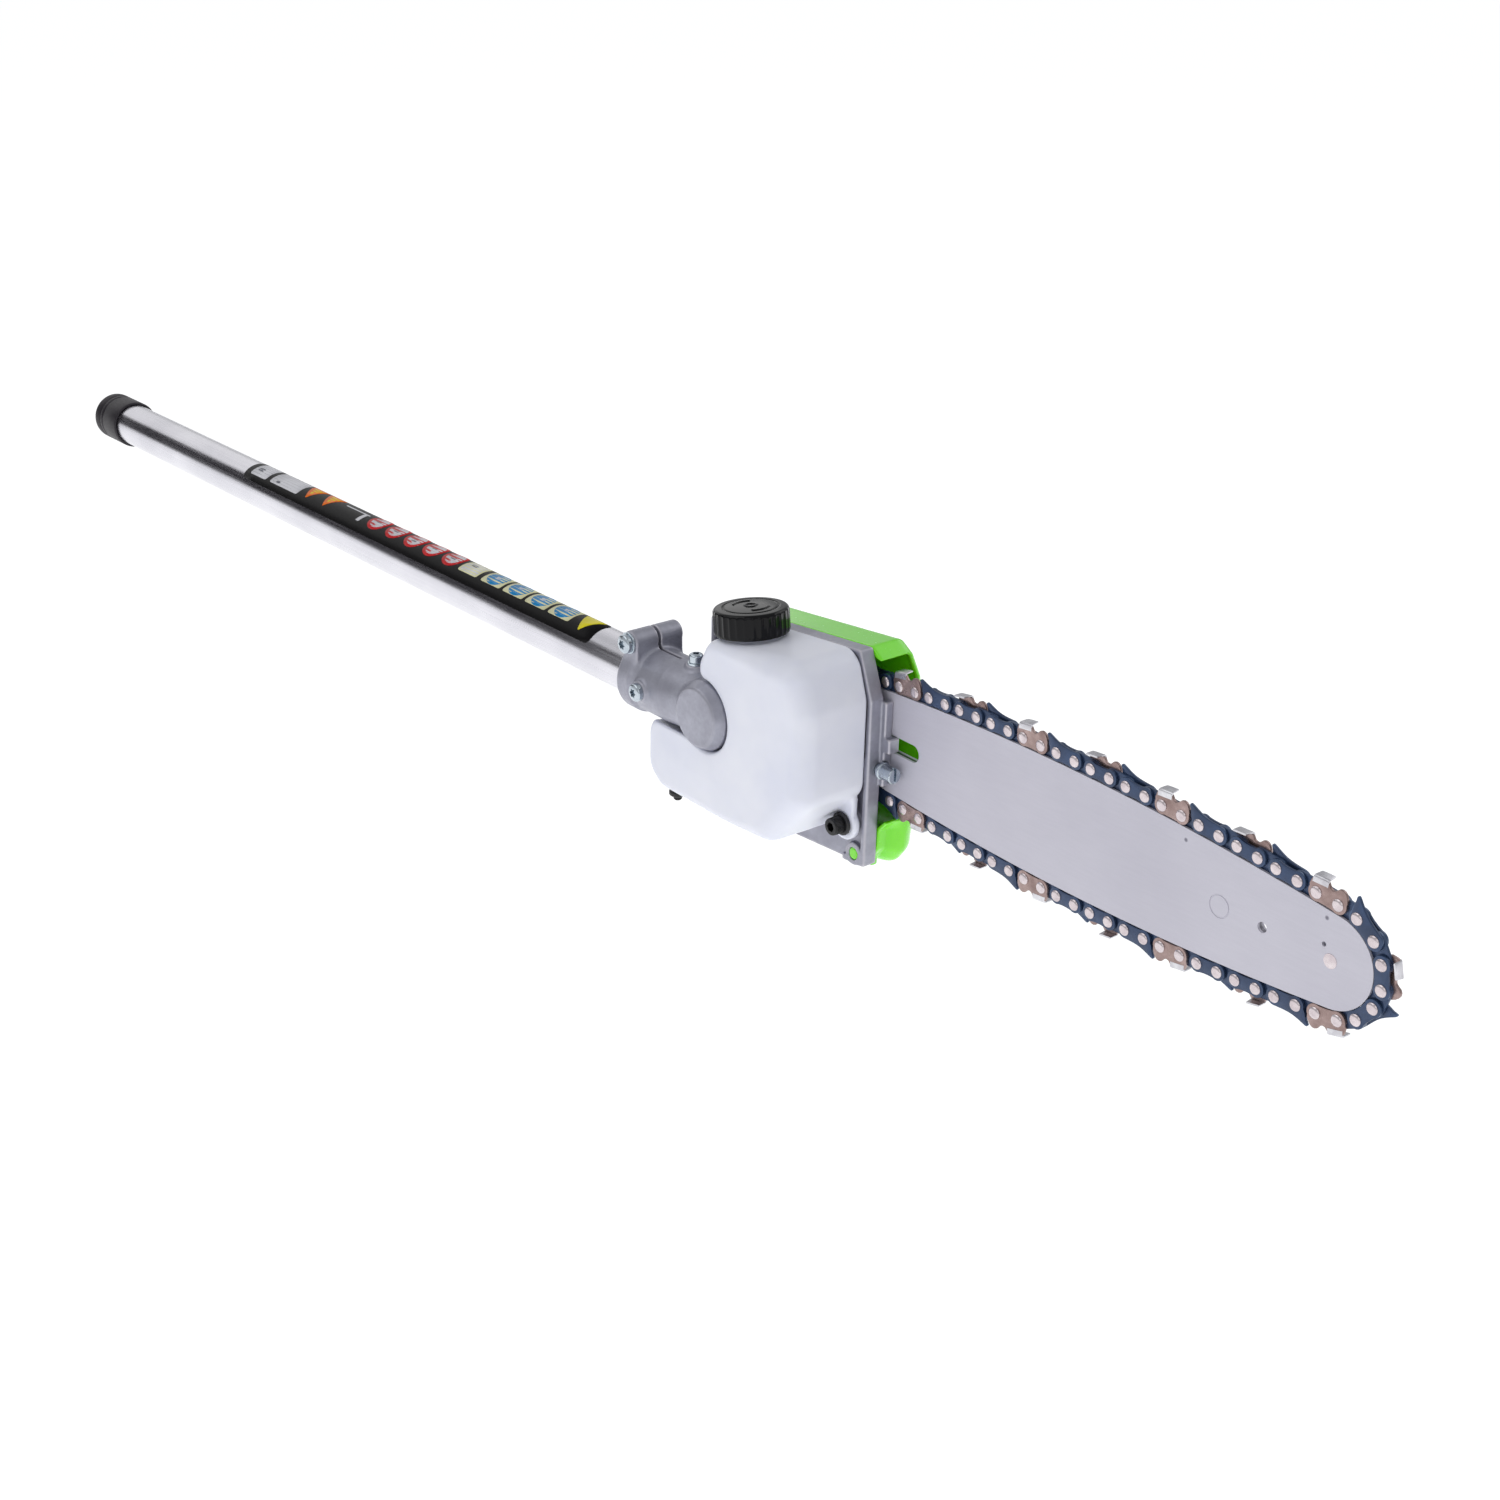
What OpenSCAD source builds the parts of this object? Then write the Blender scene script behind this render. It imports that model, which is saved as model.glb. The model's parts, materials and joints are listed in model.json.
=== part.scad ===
// Pole saw attachment: a tube with a drive shaft, a bevel gear case, a chain case with an oil tank,
// and a guide bar with its saw chain. Millimetres.
// Origin: the tube's axis at its open coupling end. +X along the tube to the saw, +Z up,
// the oil tank on the -Y side and the chain on the +Y side.

/* [Tube] */
// Outer diameter of the tube
tube_d = 26; // [25.5:0.1:26.2]
// Wall of the tube
tube_wall = 1.5; // [1.2:0.1:1.6]
// Distance from the tube's open end to the output shaft
output_x = 655; // [560:5:900]
// Diameter of the drive shaft
drive_d = 10; // [9:0.5:10]
// Length of the rubber transport cap over the tube
end_cap_len = 29; // [20:1:60]

/* [Head] */
// Angle by which the bar droops below the tube's axis
bar_droop = 1.4; // [0:0.1:2]
// Distance from the pole's axis to the middle of the bar
bar_y = 40; // [40:0.5:42]
// Outer radius of the bevel gear case
case_r = 16.5; // [16.3:0.1:17]

/* [Bar and chain] */
// Distance from the output shaft to the nose wheel
nose_x = 315.5; // [315.3:0.1:315.7]
// Total thickness of the laminated bar
bar_t = 4; // [3.8:0.1:4.2]
// Number of drive links in the chain
link_count = 40; // [40]
// Rivet spacing of a strap
strap_pitch = 10.14; // [10:0.01:10.2]

/* [Oil tank] */
// Wall of the tank
tank_wall = 2; // [1.6:0.1:2.2]
// Slope of the tank's top along the bar, rising to the nose
tank_slope = 7; // [5:0.5:8]
// Outer radius of the filler cap
filler_r = 17.6; // [16.8:0.1:17.8]

/* [Hidden] */
$fn = 64;

tube_r = tube_d / 2;
bore_r = tube_r - tube_wall;
drive_r = drive_d / 2;
run_gap = 0.05;
eps = 0.01;

// Pole stations, measured along the tube from its open end
collar_back = output_x - 59.5;
collar_front = output_x - 51;
tube_end = output_x - 33.5;
bearing_back = output_x - 32;
bearing_front = output_x - 16;
clamp_x = output_x - 52.8;
locate_x = output_x - 41.5;
lug_z = 20.2;
grease_x = output_x - 19.5;
screw_turn = 15;
screw_circle_r = 20.3;

// Stations across the head, along Y
boss_y = -16;
case_mouth_y = 23.2;
plate_near_y = 27;
plate_web_y = 29.5;
plate_far_y = 34.5;
screw_seat_y = 31;
seal_far_y = 26.8;
seal_r = 10;
pad_y = bar_y - bar_t / 2;
cover_y = 56;
cover_wall = 2.2;

// Chain path: nose arc, main arc, tail arc, straight run, sprocket arc
nose_rr = 23.14;
nose_end = 83.5;
main_rr = 1320.4;
main_end = 94.2;
tail_rr = 150;
sprocket_rr = 18.4;
main_c = [nose_x, 0] + (nose_rr - main_rr) * [cos(nose_end), sin(nose_end)];
tail_c = main_c + (main_rr - tail_rr) * [cos(main_end), sin(main_end)];
tail_end = atan2(tail_c[1], tail_c[0]) + acos((sprocket_rr - tail_rr) / norm(tail_c));
run_start = tail_c + tail_rr * [cos(tail_end), sin(tail_end)];
run_finish = sprocket_rr * [cos(tail_end), sin(tail_end)];
rad = PI / 180;
len_nose = nose_rr * nose_end * rad;
len_main = len_nose + main_rr * (main_end - nose_end) * rad;
len_tail = len_main + tail_rr * (tail_end - main_end) * rad;
len_run = len_tail + norm(run_start - run_finish);
half_chain = len_run + sprocket_rr * (180 - tail_end) * rad;
link_pitch = 2 * half_chain / link_count;
first_rivet = 17.35;

// Chain section
link_r = 3.8;
drive_link_t = 1.27;
strap_in = 0.67;
strap_t = 1.35;
rivet_r = 1.6;
rivet_gap = 0.08;
rivet_head_r = 2.6;
rivet_reach = 2.8;
cutter_top = 7.3;
gauge_top = 6.6;
rail_drop = 3.9;
groove_drop = 9.4;
core_t = 1.5;

// Bar tail and tensioner
bar_tail_x = 23;
slot_half = 4.1;
slot_back = 42;
slot_front = 87.4;
stud_x = 46;
stud_r = 4;
tension_y = 33.2;
tension_z = -12;
head_seat_x = 73.2;
pin_x = 48;

// Oil pump, beside the output shaft
pump_x = 10.2;
pump_y = 30.5;
worm_r = 7;

// Filler neck on the tank's top
filler_x = 10.4;
filler_y = 8.2;
filler_z = 39.2;
tank_near_y = -11.5;
tank_far_y = 26.7;
ear_front = [60, -40.5];
ear_back = [-22, -54.2];
ear_near_y = 23.3;
grommet_rim_r = 5.6;
screw_head_y = ear_near_y - 7.5;
peg_pos = [63.5, -55.8];
peg_r = 2.9;
outlet_x = -27;
outlet_y = -4.5;

// ---- Placing helpers ----

// The head's frame: origin on the output shaft at the pole's axis, +X along the bar
module head() {
    translate([output_x, 0, 0])
        rotate([0, bar_droop, 0])
            children();
}

// Extrudes an outline drawn in X and Z from y0 to y1
module slab(y0, y1) {
    translate([0, y1, 0])
        rotate([90, 0, 0])
            linear_extrude(height = y1 - y0)
                children();
}

// A round bar along +Y from y0 to y1 at [x, z]
module rod_y(pos, r, y0, y1) {
    translate([pos[0], y0, pos[1]])
        rotate([-90, 0, 0])
            cylinder(r = r, h = y1 - y0);
}

// A round bar along +X from x0 to x1 at [y, z]
module rod_x(pos, r, x0, x1) {
    translate([x0, pos[0], pos[1]])
        rotate([0, 90, 0])
            cylinder(r = r, h = x1 - x0);
}

module ring_y(pos, r_out, r_in, y0, y1) {
    difference() {
        rod_y(pos, r_out, y0, y1);
        rod_y(pos, r_in, y0 - 1, y1 + 1);
    }
}

module ring_x(pos, r_out, r_in, x0, x1) {
    difference() {
        rod_x(pos, r_out, x0, x1);
        rod_x(pos, r_in, x0 - 1, x1 + 1);
    }
}

// ---- Chain path ----

// Point and outward angle at arc length u from the nose tip, along the top
function half_path(u) =
    u < len_nose ? let (a = u / nose_rr / rad)
        [nose_x + nose_rr * cos(a), nose_rr * sin(a), a]
    : u < len_main ? let (a = nose_end + (u - len_nose) / main_rr / rad)
        [main_c[0] + main_rr * cos(a), main_c[1] + main_rr * sin(a), a]
    : u < len_tail ? let (a = main_end + (u - len_main) / tail_rr / rad)
        [tail_c[0] + tail_rr * cos(a), tail_c[1] + tail_rr * sin(a), a]
    : u < len_run ? let (t = (u - len_tail) / (len_run - len_tail))
        concat(run_start + t * (run_finish - run_start), [tail_end])
    : let (a = tail_end + (u - len_run) / sprocket_rr / rad)
        [sprocket_rr * cos(a), sprocket_rr * sin(a), a];

function wrapped(u) = u > half_chain ? u - 2 * half_chain : u;

function path_point(u) =
    let (w = wrapped(u), p = half_path(abs(w)))
        w < 0 ? [p[0], -p[1]] : [p[0], p[1]];

function strap_front(m) = first_rivet + link_pitch * m;
function strap_rear(m) = strap_front(m) + strap_pitch;

// Places children with +X from the rear rivet to the front rivet, +Y outwards, and shares the small
// difference between a link's pitch and its chord evenly between the two rivets
module on_link(rear_u, front_u) {
    rear = path_point(rear_u);
    front = path_point(front_u);
    step = front - rear;
    pitch = abs(front_u - rear_u);
    translate((rear + front) / 2)
        rotate(atan2(step[1], step[0]))
            translate([-pitch / 2, 0])
                children();
}

// Half outline of the bar at a given drop inside the rivet line, from the tail to the nose
function rail_side(drop, tail_x) = concat(
    [[tail_x, tail_height(tail_x) - drop]],
    [for (a = [tail_end, (tail_end + main_end) / 2, main_end])
        tail_c + (tail_rr - drop) * [cos(a), sin(a)]],
    [for (i = [1 : 12])
        let (a = main_end + (nose_end - main_end) * i / 12)
            main_c + (main_rr - drop) * [cos(a), sin(a)]],
    [for (i = [1 : 12])
        let (a = nose_end * (1 - i / 12))
            [nose_x, 0] + (nose_rr - drop) * [cos(a), sin(a)]]
);

function tail_height(x) =
    run_finish[1] + (x - run_finish[0]) * (run_start[1] - run_finish[1]) / (run_start[0] - run_finish[0]);

module bar_outline(drop, tail_x) {
    side = rail_side(drop, tail_x);
    count = len(side);
    mirrored = [for (i = [count - 2 : -1 : 0]) [side[i][0], -side[i][1]]];
    polygon(concat(side, mirrored));
}

module bar_slot() {
    translate([slot_back, -slot_half])
        square([slot_front - slot_back, 2 * slot_half]);
    translate([slot_back, 0])
        circle(r = slot_half);
    translate([slot_front, 0])
        circle(r = slot_half);
}

// ---- Pole ----

module tube() {
    color("silver")
        difference() {
            rod_x([0, 0], tube_r, 0, tube_end);
            rod_x([0, 0], bore_r, -1, tube_end + 1);
            translate([locate_x, 0, 0])
                rod_y([0, 0], 2.5, -tube_r - 1, 0);
        }
}

module tube_end_cap() {
    cap_r = 14.7;
    end_t = 3;
    color("#3c323c")
        difference() {
            rod_x([0, 0], cap_r, -end_t, end_cap_len);
            rod_x([0, 0], tube_r + run_gap, 0, end_cap_len + 1);
        }
}

module label_strip() {
    label_back = output_x - 452;
    label_len = 360;
    label_t = 0.25;
    color("#141414")
        translate([label_back, 0, 0])
            rotate([90, 0, 90])
                linear_extrude(height = label_len)
                    difference() {
                        intersection() {
                            circle(r = tube_r + label_t);
                            rotate(17)
                                polygon([[0, 0], [16, 19.1], [-16, 19.1]]);
                        }
                        circle(r = tube_r);
                    }
}

module drive_shaft() {
    shaft_back = 6;
    socket_back = output_x - 46;
    shaft_front = output_x - 36;
    spline_len = 22;
    spline_r = 4.6;
    color("#8a8a90")
        difference() {
            union() {
                rod_x([0, 0], drive_r, shaft_back + spline_len, shaft_front);
                rod_x([0, 0], spline_r, shaft_back, shaft_back + spline_len + 1);
            }
            for (i = [0 : 8])
                rotate([i * 40, 0, 0])
                    rod_x([0, spline_r + 0.3], 1.1, shaft_back - 1, shaft_back + spline_len - 2);
            rod_x([0, 0], 4, socket_back, shaft_front + 1);
        }
}

module shaft_bushings() {
    bushing_len = 24;
    color("#404040")
        for (x = [110, 330, 545])
            ring_x([0, 0], bore_r, drive_r + run_gap, x, x + bushing_len);
}

// ---- Gear case ----

module gear_case() {
    neck_r = 16;
    rim_r = 17.2;
    lug_r = 5.4;
    lug_half = 14;
    boss_taper = 5;
    slit = 1.6;
    chamber_r = 14.5;
    flange_r = 24;
    color("#918a92")
        difference() {
            union() {
                rod_x([0, 0], rim_r, collar_back, collar_front);
                rod_x([0, 0], neck_r, collar_front - 1, output_x - 30);
                translate([output_x - 30, 0, 0])
                    rotate([0, 90, 0])
                        cylinder(r1 = neck_r, r2 = 14.5, h = 22);
                translate([clamp_x, 0, 0]) {
                    rod_y([0, lug_z], lug_r, -lug_half, lug_half);
                    translate([-lug_r, -lug_half, 8])
                        cube([2 * lug_r, 2 * lug_half, lug_z - 8]);
                }
                rod_y([locate_x, 0], 5, -17.4, 0);
                translate([grease_x, 0, 8])
                    cylinder(r = 4.6, h = 8.6);
                translate([output_x, 0, 0]) {
                    rod_y([0, 0], case_r, boss_y + boss_taper, case_mouth_y - 1);
                    translate([0, boss_y, 0])
                        rotate([-90, 0, 0])
                            cylinder(r1 = case_r - 2.5, r2 = case_r, h = boss_taper);
                    rod_y([0, 0], flange_r, case_mouth_y - 4, case_mouth_y);
                }
            }
            rod_x([0, 0], tube_r + 0.02, collar_back - 1, tube_end);
            rod_x([0, 0], 11, tube_end - 1, output_x - 5);
            translate([collar_back - 1, -slit / 2, 0])
                cube([29, slit, 40]);
            rod_y([clamp_x, lug_z], 2.55, -40, 40);
            rod_y([locate_x, 0], 2.5, -40, 0);
            translate([grease_x, 0, 0])
                cylinder(r = 2.5, h = 40);
            translate([output_x, 0, 0]) {
                rod_y([0, 0], chamber_r, -10, 15.2);
                rod_y([0, 0], 9.5, -13, 0);
                rod_y([0, 0], 13, 15, case_mouth_y + 1);
                for (i = [0 : 3])
                    rotate([0, screw_turn + 90 * i, 0])
                        rod_y([screw_circle_r, 0], 2, 10, case_mouth_y + 1);
            }
        }
}

// A screw along +Y with its head towards -Y, and a six-lobe socket in the head
module lobe_screw(pos, head_r, head_y, seat_y, shank_r, tip_y) {
    difference() {
        union() {
            rod_y(pos, head_r, head_y, seat_y);
            rod_y(pos, shank_r, seat_y - 1, tip_y);
        }
        for (i = [0 : 2])
            translate([pos[0], head_y - 1, pos[1]])
                rotate([0, i * 60, 0])
                    translate([-head_r * 0.55, 0, -head_r * 0.16])
                        cube([head_r * 1.1, 2.6, head_r * 0.32]);
    }
}

module clamp_screw() {
    color("#c8ccd0") {
        lobe_screw([clamp_x, lug_z], 4.6, -18.6, -15, 2.5, 13.5);
        ring_y([clamp_x, lug_z], 5.2, 2.5, -15, -14);
    }
}

module locating_screw() {
    color("#c8ccd0")
        lobe_screw([locate_x, 0], 4.2, -20.8, -17.4, 2.45, -11.6);
}

module grease_plug() {
    color("#c8ccd0")
        translate([grease_x, 0, 16.6]) {
            difference() {
                union() {
                    translate([0, 0, -4.5])
                        cylinder(r = 2.5, h = 5);
                    translate([0, 0, 1])
                        cylinder(r = 3.1, h = 3.6);
                    translate([0, 0, 4.6])
                        cylinder(r1 = 3.1, r2 = 2.2, h = 1);
                }
                for (i = [0 : 1])
                    rotate([0, 0, 90 * i])
                        translate([-4, -0.5, 4.2])
                            cube([8, 1, 2]);
            }
            difference() {
                cylinder(r = 4, h = 1);
                translate([0, 0, -1])
                    cylinder(r = 2.5, h = 3);
            }
        }
}

// A bevel gear about +Z with its teeth facing -Z: tips on a cone through the apex at the origin
module bevel_gear(teeth, slope, r_in, r_out, tip_gap, back_z, bore) {
    tip_in = r_in * slope + tip_gap;
    tip_out = r_out * slope + tip_gap;
    tooth_h = 1.9;
    slot_w = PI * r_in / teeth;
    rim_z = min(tip_out + 2.2, back_z - 0.4);
    difference() {
        rotate_extrude()
            polygon([[bore, tip_in], [r_in, tip_in], [r_out, tip_out], [r_out, rim_z],
                [r_out - 2, back_z], [bore, back_z]]);
        for (i = [0 : teeth - 1])
            rotate([0, 0, i * 360 / teeth])
                translate([r_in, 0, tip_in])
                    rotate([0, -atan(slope), 0])
                        translate([-4, -slot_w / 2, -2])
                            cube([14, slot_w, 2 + tooth_h]);
    }
}

pinion_teeth = 14;
ring_teeth = 21;
pitch_slope = pinion_teeth / ring_teeth;

module pinion() {
    color("#77777c")
        translate([output_x, 0, 0])
            union() {
                rotate([0, -90, 0])
                    bevel_gear(pinion_teeth, 1 / pitch_slope, 6.5, 9.2, 0.45, 15.6, 3);
                rod_x([0, 0], 4, -46, -10.4);
            }
}

module pinion_bearings() {
    color("#b0b4b8")
        for (x = [bearing_back + 2, bearing_back + 9])
            ring_x([0, 0], 11, 4.01, x, x + 6.9);
}

module pinion_circlip() {
    color("#505054")
        ring_x([0, 0], 6, 4, output_x - 32, output_x - 31);
}

module ring_gear() {
    color("#77777c")
        translate([output_x, 0, 0])
            union() {
                rotate([-90, 0, 0])
                    bevel_gear(ring_teeth, pitch_slope, 9.6, 14, 0.25, 13, 5);
                ring_y([0, 0], 7, 5, 6.9, 15);
            }
}

module output_shaft() {
    color("#9a9aa0")
        translate([output_x, 0, 0])
            difference() {
                rod_y([0, 0], 5, -12.8, 49.5);
                ring_y([0, 0], 6, 4.2, 47.1, 48.1);
            }
}

module output_bearings() {
    color("#b0b4b8")
        translate([output_x, 0, 0]) {
            ring_y([0, 0], 9.5, 5.01, -13, -8);
            ring_y([0, 0], 13, 5.01, 15.2, case_mouth_y);
        }
}

module oil_seal() {
    color("#2c2c2e")
        translate([output_x, 0, 0])
            ring_y([0, 0], seal_r, 5.03, 24, seal_far_y - 0.1);
}

module case_screws() {
    color("#8a8d90")
        translate([output_x, 0, 0])
            for (i = [0 : 3])
                rotate([0, screw_turn + 90 * i, 0])
                    difference() {
                        union() {
                            rod_y([screw_circle_r, 0], 2, case_mouth_y - 3.6, screw_seat_y + 1);
                            rod_y([screw_circle_r, 0], 3.5, screw_seat_y, plate_far_y - 0.4);
                        }
                        translate([screw_circle_r, plate_far_y - 2.4, 0])
                            rotate([-90, 0, 0])
                                cylinder(r = 1.8, h = 3, $fn = 6);
                    }
}

// ---- Chain case ----

plate_points = [[-44, -57], [-35, -68.5], [64, -60.6], [71, -60], [71, 21.5], [62.5, 43.2],
    [-38, 32.3], [-44, 26]];

module plate_outline(inset = 0) {
    offset(delta = -inset)
        polygon(plate_points);
}

module bar_pad() {
    slab(plate_far_y - 1, pad_y - 0.1)
        polygon([[26, -12], [40, -16.5], [73.8, -20.5], [73.8, 20.5], [40, 16.5], [26, 12]]);
    slab(plate_far_y - 1, pad_y + 1.6)
        translate([56, -3.5])
            square([21, 7]);
}

module base_plate() {
    rim = 3;
    rim_stop_x = 56;
    peg_boss_r = 5.4;
    hub_r = 24;
    boss_half = 6;
    boss_len = 36;
    channel_back = 36;
    channel_len = 30;
    color("#918a92")
        head()
            difference() {
                union() {
                    slab(plate_web_y, plate_far_y)
                        plate_outline();
                    slab(plate_near_y, plate_web_y + 1)
                        difference() {
                            plate_outline();
                            plate_outline(rim);
                            // The rim stops along the lower edge
                            translate([-36, -80])
                                square([rim_stop_x + 36, 22]);
                        }
                    rod_y(peg_pos, peg_boss_r, plate_near_y, plate_web_y + 1);
                    rod_y([0, 0], hub_r, case_mouth_y, plate_web_y + 1);
                    for (p = [ear_front, ear_back])
                        rod_y(p, 6, plate_near_y + 0.5, plate_web_y + 1);
                    // Boss around the tensioner
                    slab(plate_near_y, plate_web_y + 1)
                        translate([channel_back - 2, tension_z - boss_half])
                            square([boss_len, 2 * boss_half]);
                    bar_pad();
                }
                // Seal, worm pocket and shaft
                rod_y([0, 0], seal_r, 0, seal_far_y);
                rod_y([0, 0], 5.6, 0, 60);
                rod_y([0, 0], worm_r + 0.6, 28.2, 60);
                // Pump barrel
                translate([pump_x, pump_y, -20])
                    cylinder(r = 3.6, h = 34);
                // Stud, case screws, tank screws and the cover's peg
                rod_y([stud_x, 0], stud_r, 0, 60);
                for (i = [0 : 3])
                    rotate([0, screw_turn - bar_droop + 90 * i, 0]) {
                        rod_y([screw_circle_r, 0], 2.1, 0, 60);
                        rod_y([screw_circle_r, 0], 3.7, screw_seat_y, 60);
                    }
                for (p = [ear_front, ear_back])
                    rod_y(p, 2.1, 20, plate_far_y - 1.5);
                rod_y(peg_pos, peg_r + 0.1, 20, 60);
                // Tensioner channel, open to the bar, and its screw's bore
                translate([channel_back, tension_y - 3.6, tension_z - 3.3])
                    cube([channel_len, 40, 6.6]);
                rod_x([tension_y, tension_z], 2.55, 60, 80);
                // Counterbore round the tensioner's head
                rod_x([tension_y, tension_z], 4.5, head_seat_x - 0.3, 80);
            }
}

module bar_stud() {
    head_t = 2.4;
    color("#b8bcc0")
        head()
            union() {
                translate([stud_x, plate_web_y - head_t, 0])
                    rotate([-90, 0, 0])
                        cylinder(r = 6.6, h = head_t, $fn = 6);
                rod_y([stud_x, 0], stud_r, plate_web_y - 0.5, cover_y + 11);
            }
}

module pump_worm() {
    thread_pitch = 1.4;
    color("#c9b26a")
        head()
            difference() {
                rod_y([0, 0], worm_r, 28.4, 32.6);
                rod_y([0, 0], 5, 20, 40);
                for (i = [0 : 1])
                    ring_y([0, 0], worm_r + 1, worm_r - 0.6, 29.3 + thread_pitch * i, 30 + thread_pitch * i);
            }
}

module pump_barrel() {
    color("#a8a4a0")
        head()
            difference() {
                translate([pump_x, pump_y, -18])
                    cylinder(r = 3.6, h = 32);
                translate([pump_x, pump_y, -16])
                    cylinder(r = 1.85, h = 40);
                translate([pump_x, pump_y, -3.3])
                    cylinder(r = 3, h = 6.6);
                rod_y([0, 0], worm_r + 0.3, 20, 40);
            }
}

module pump_plunger() {
    color("#c8c8cc")
        head()
            translate([pump_x, pump_y, 0])
                difference() {
                    union() {
                        translate([0, 0, -15])
                            cylinder(r = 1.8, h = 28);
                        translate([0, 0, -3])
                            cylinder(r = 2.85, h = 6);
                    }
                    for (i = [0 : 9])
                        rotate([0, 0, i * 36])
                            translate([2.4, -0.25, -4])
                                cube([2, 0.5, 8]);
                    // Flat that opens and shuts the pump's ports
                    translate([1, -3, -14])
                        cube([3, 6, 5]);
                }
}

module sprocket() {
    flange_r = 13.6;
    groove_half = 1;
    color("#6c6a70")
        head()
            difference() {
                union() {
                    rod_y([0, 0], flange_r, 35.7, bar_y - groove_half);
                    rod_y([0, 0], 9.4, bar_y - groove_half - 0.5, bar_y + groove_half + 0.5);
                    rod_y([0, 0], flange_r, bar_y + groove_half, 44.4);
                    rod_y([0, 0], 8, 44, 46);
                }
                rod_y([0, 0], 5, 30, 60);
                for (i = [0 : 5])
                    rotate([0, i * 60, 0])
                        rod_y([11.2, 0], 1.6, bar_y + groove_half - 0.5, 45);
            }
}

module sprocket_washer() {
    color("#b0b4b8")
        head()
            ring_y([0, 0], 8.5, 5, 46, 47.1);
}

module e_clip() {
    color("#505054")
        head()
            difference() {
                ring_y([0, 0], 8, 4.2, 47.1, 48.1);
                translate([0, 45, -2.6])
                    cube([12, 5, 5.2]);
            }
}

module tension_screw() {
    head_x = head_seat_x;
    head_r = 3.7;
    head_len = 9;
    collar_t = 1.6;
    color("#c8ccd0")
        head()
            difference() {
                union() {
                    rod_x([tension_y, tension_z], 2.5, 40.5, head_x + 1);
                    rod_x([tension_y, tension_z], head_r, head_x, head_x + head_len);
                    rod_x([tension_y, tension_z], 4.2, head_x, head_x + collar_t);
                    rod_x([tension_y, tension_z], 3, 63.6, 65.6);
                }
                translate([head_x + head_len - 1.4, tension_y - 0.5, tension_z - 5])
                    cube([3, 1, 10]);
            }
}

module tension_pin() {
    color("#a0a2a6")
        head()
            union() {
                difference() {
                    translate([pin_x - 4, tension_y - 3.2, tension_z - 3])
                        cube([8, 5.9, 6]);
                    rod_x([tension_y, tension_z], 2.55, 30, 60);
                }
                rod_y([pin_x, tension_z], 2.4, tension_y + 2.6, bar_y + 1.6);
            }
}

// ---- Bar ----

module bar_holes() {
    bar_slot();
    translate([pin_x, tension_z])
        circle(r = 2.5);
    translate([283.5, 0])
        circle(r = 2.2);
}

module side_plate(y0, y1, shallow_y) {
    color("#c0bec8")
        head()
            difference() {
                slab(y0, y1)
                    difference() {
                        bar_outline(rail_drop, bar_tail_x);
                        bar_holes();
                        translate([pin_x, -tension_z])
                            circle(r = 2.5);
                        translate([nose_x, 0])
                            circle(r = 3);
                        translate([nose_x - 3.7, 5.6])
                            circle(r = 1);
                    }
                // Shallow stamped ring
                ring_y([262.5, 0], 5, 4.4, shallow_y - 0.25, shallow_y + 0.25);
            }
}

module bar_near_plate() {
    side_plate(pad_y, bar_y - core_t / 2, pad_y);
}

module bar_far_plate() {
    side_plate(bar_y + core_t / 2, bar_y + bar_t / 2, bar_y + bar_t / 2);
}

module bar_core_plate() {
    color("#8c8a92")
        head()
            slab(bar_y - core_t / 2, bar_y + core_t / 2)
                difference() {
                    bar_outline(groove_drop, bar_tail_x);
                    bar_holes();
                    translate([nose_x, 0])
                        circle(r = 16.2);
                }
}

module nose_wheel() {
    wheel_r = 14.9;
    wheel_teeth = 7;
    color("#6c6a70")
        head()
            slab(bar_y - 0.62, bar_y + 0.62)
                difference() {
                    translate([nose_x, 0])
                        circle(r = wheel_r);
                    translate([nose_x, 0])
                        circle(r = 8);
                    for (i = [0 : wheel_teeth - 1])
                        translate([nose_x, 0])
                            rotate(i * 360 / wheel_teeth)
                                translate([wheel_r + 2.2, 0])
                                    circle(r = 4.2);
                }
}

module nose_bearing() {
    color("#b0b4b8")
        head()
            ring_y([nose_x, 0], 7.95, 3, bar_y - core_t / 2, bar_y + core_t / 2);
}

module nose_rivet() {
    color("#a8a6ac")
        head()
            rod_y([nose_x, 0], 3, pad_y - 0.1, bar_y + bar_t / 2 + 0.1);
}

// ---- Chain ----

module two_rivet_holes(pitch) {
    circle(r = rivet_r + rivet_gap);
    translate([pitch, 0])
        circle(r = rivet_r + rivet_gap);
}

module strap_body(pitch) {
    circle(r = link_r);
    translate([pitch, 0])
        circle(r = link_r);
    translate([0, -link_r + 0.5])
        square([pitch, 2 * link_r - 1]);
}

module strap(side, m) {
    near = bar_y - strap_in - strap_t;
    far = bar_y + strap_in;
    slab(side < 0 ? near : far, (side < 0 ? near : far) + strap_t)
        on_link(strap_rear(m), strap_front(m))
            children();
}

module plain_strap_shape() {
    difference() {
        strap_body(strap_pitch);
        two_rivet_holes(strap_pitch);
    }
}

module bumper_shape() {
    difference() {
        union() {
            strap_body(strap_pitch);
            polygon([[-3.6, 1], [-3.1, 5], [-1.4, 6.2], [0.6, 5.8], [8.6, 3.6], [8.6, 0], [0, 0]]);
        }
        two_rivet_holes(strap_pitch);
    }
}

module cutter_shape() {
    difference() {
        union() {
            strap_body(strap_pitch);
            polygon([[-3.7, 0], [-4.4, cutter_top - 1.3], [-3.9, cutter_top - 0.9], [3, cutter_top],
                [3.2, 4.6], [4.4, 3.2], [4.4, 0]]);
            polygon([[6.2, 0], [6.8, 4.2], [8.2, gauge_top - 0.4], [9.6, gauge_top],
                [11.6, gauge_top - 0.9], [13.7, 1.8], [13.4, 0]]);
        }
        two_rivet_holes(strap_pitch);
    }
}

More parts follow.
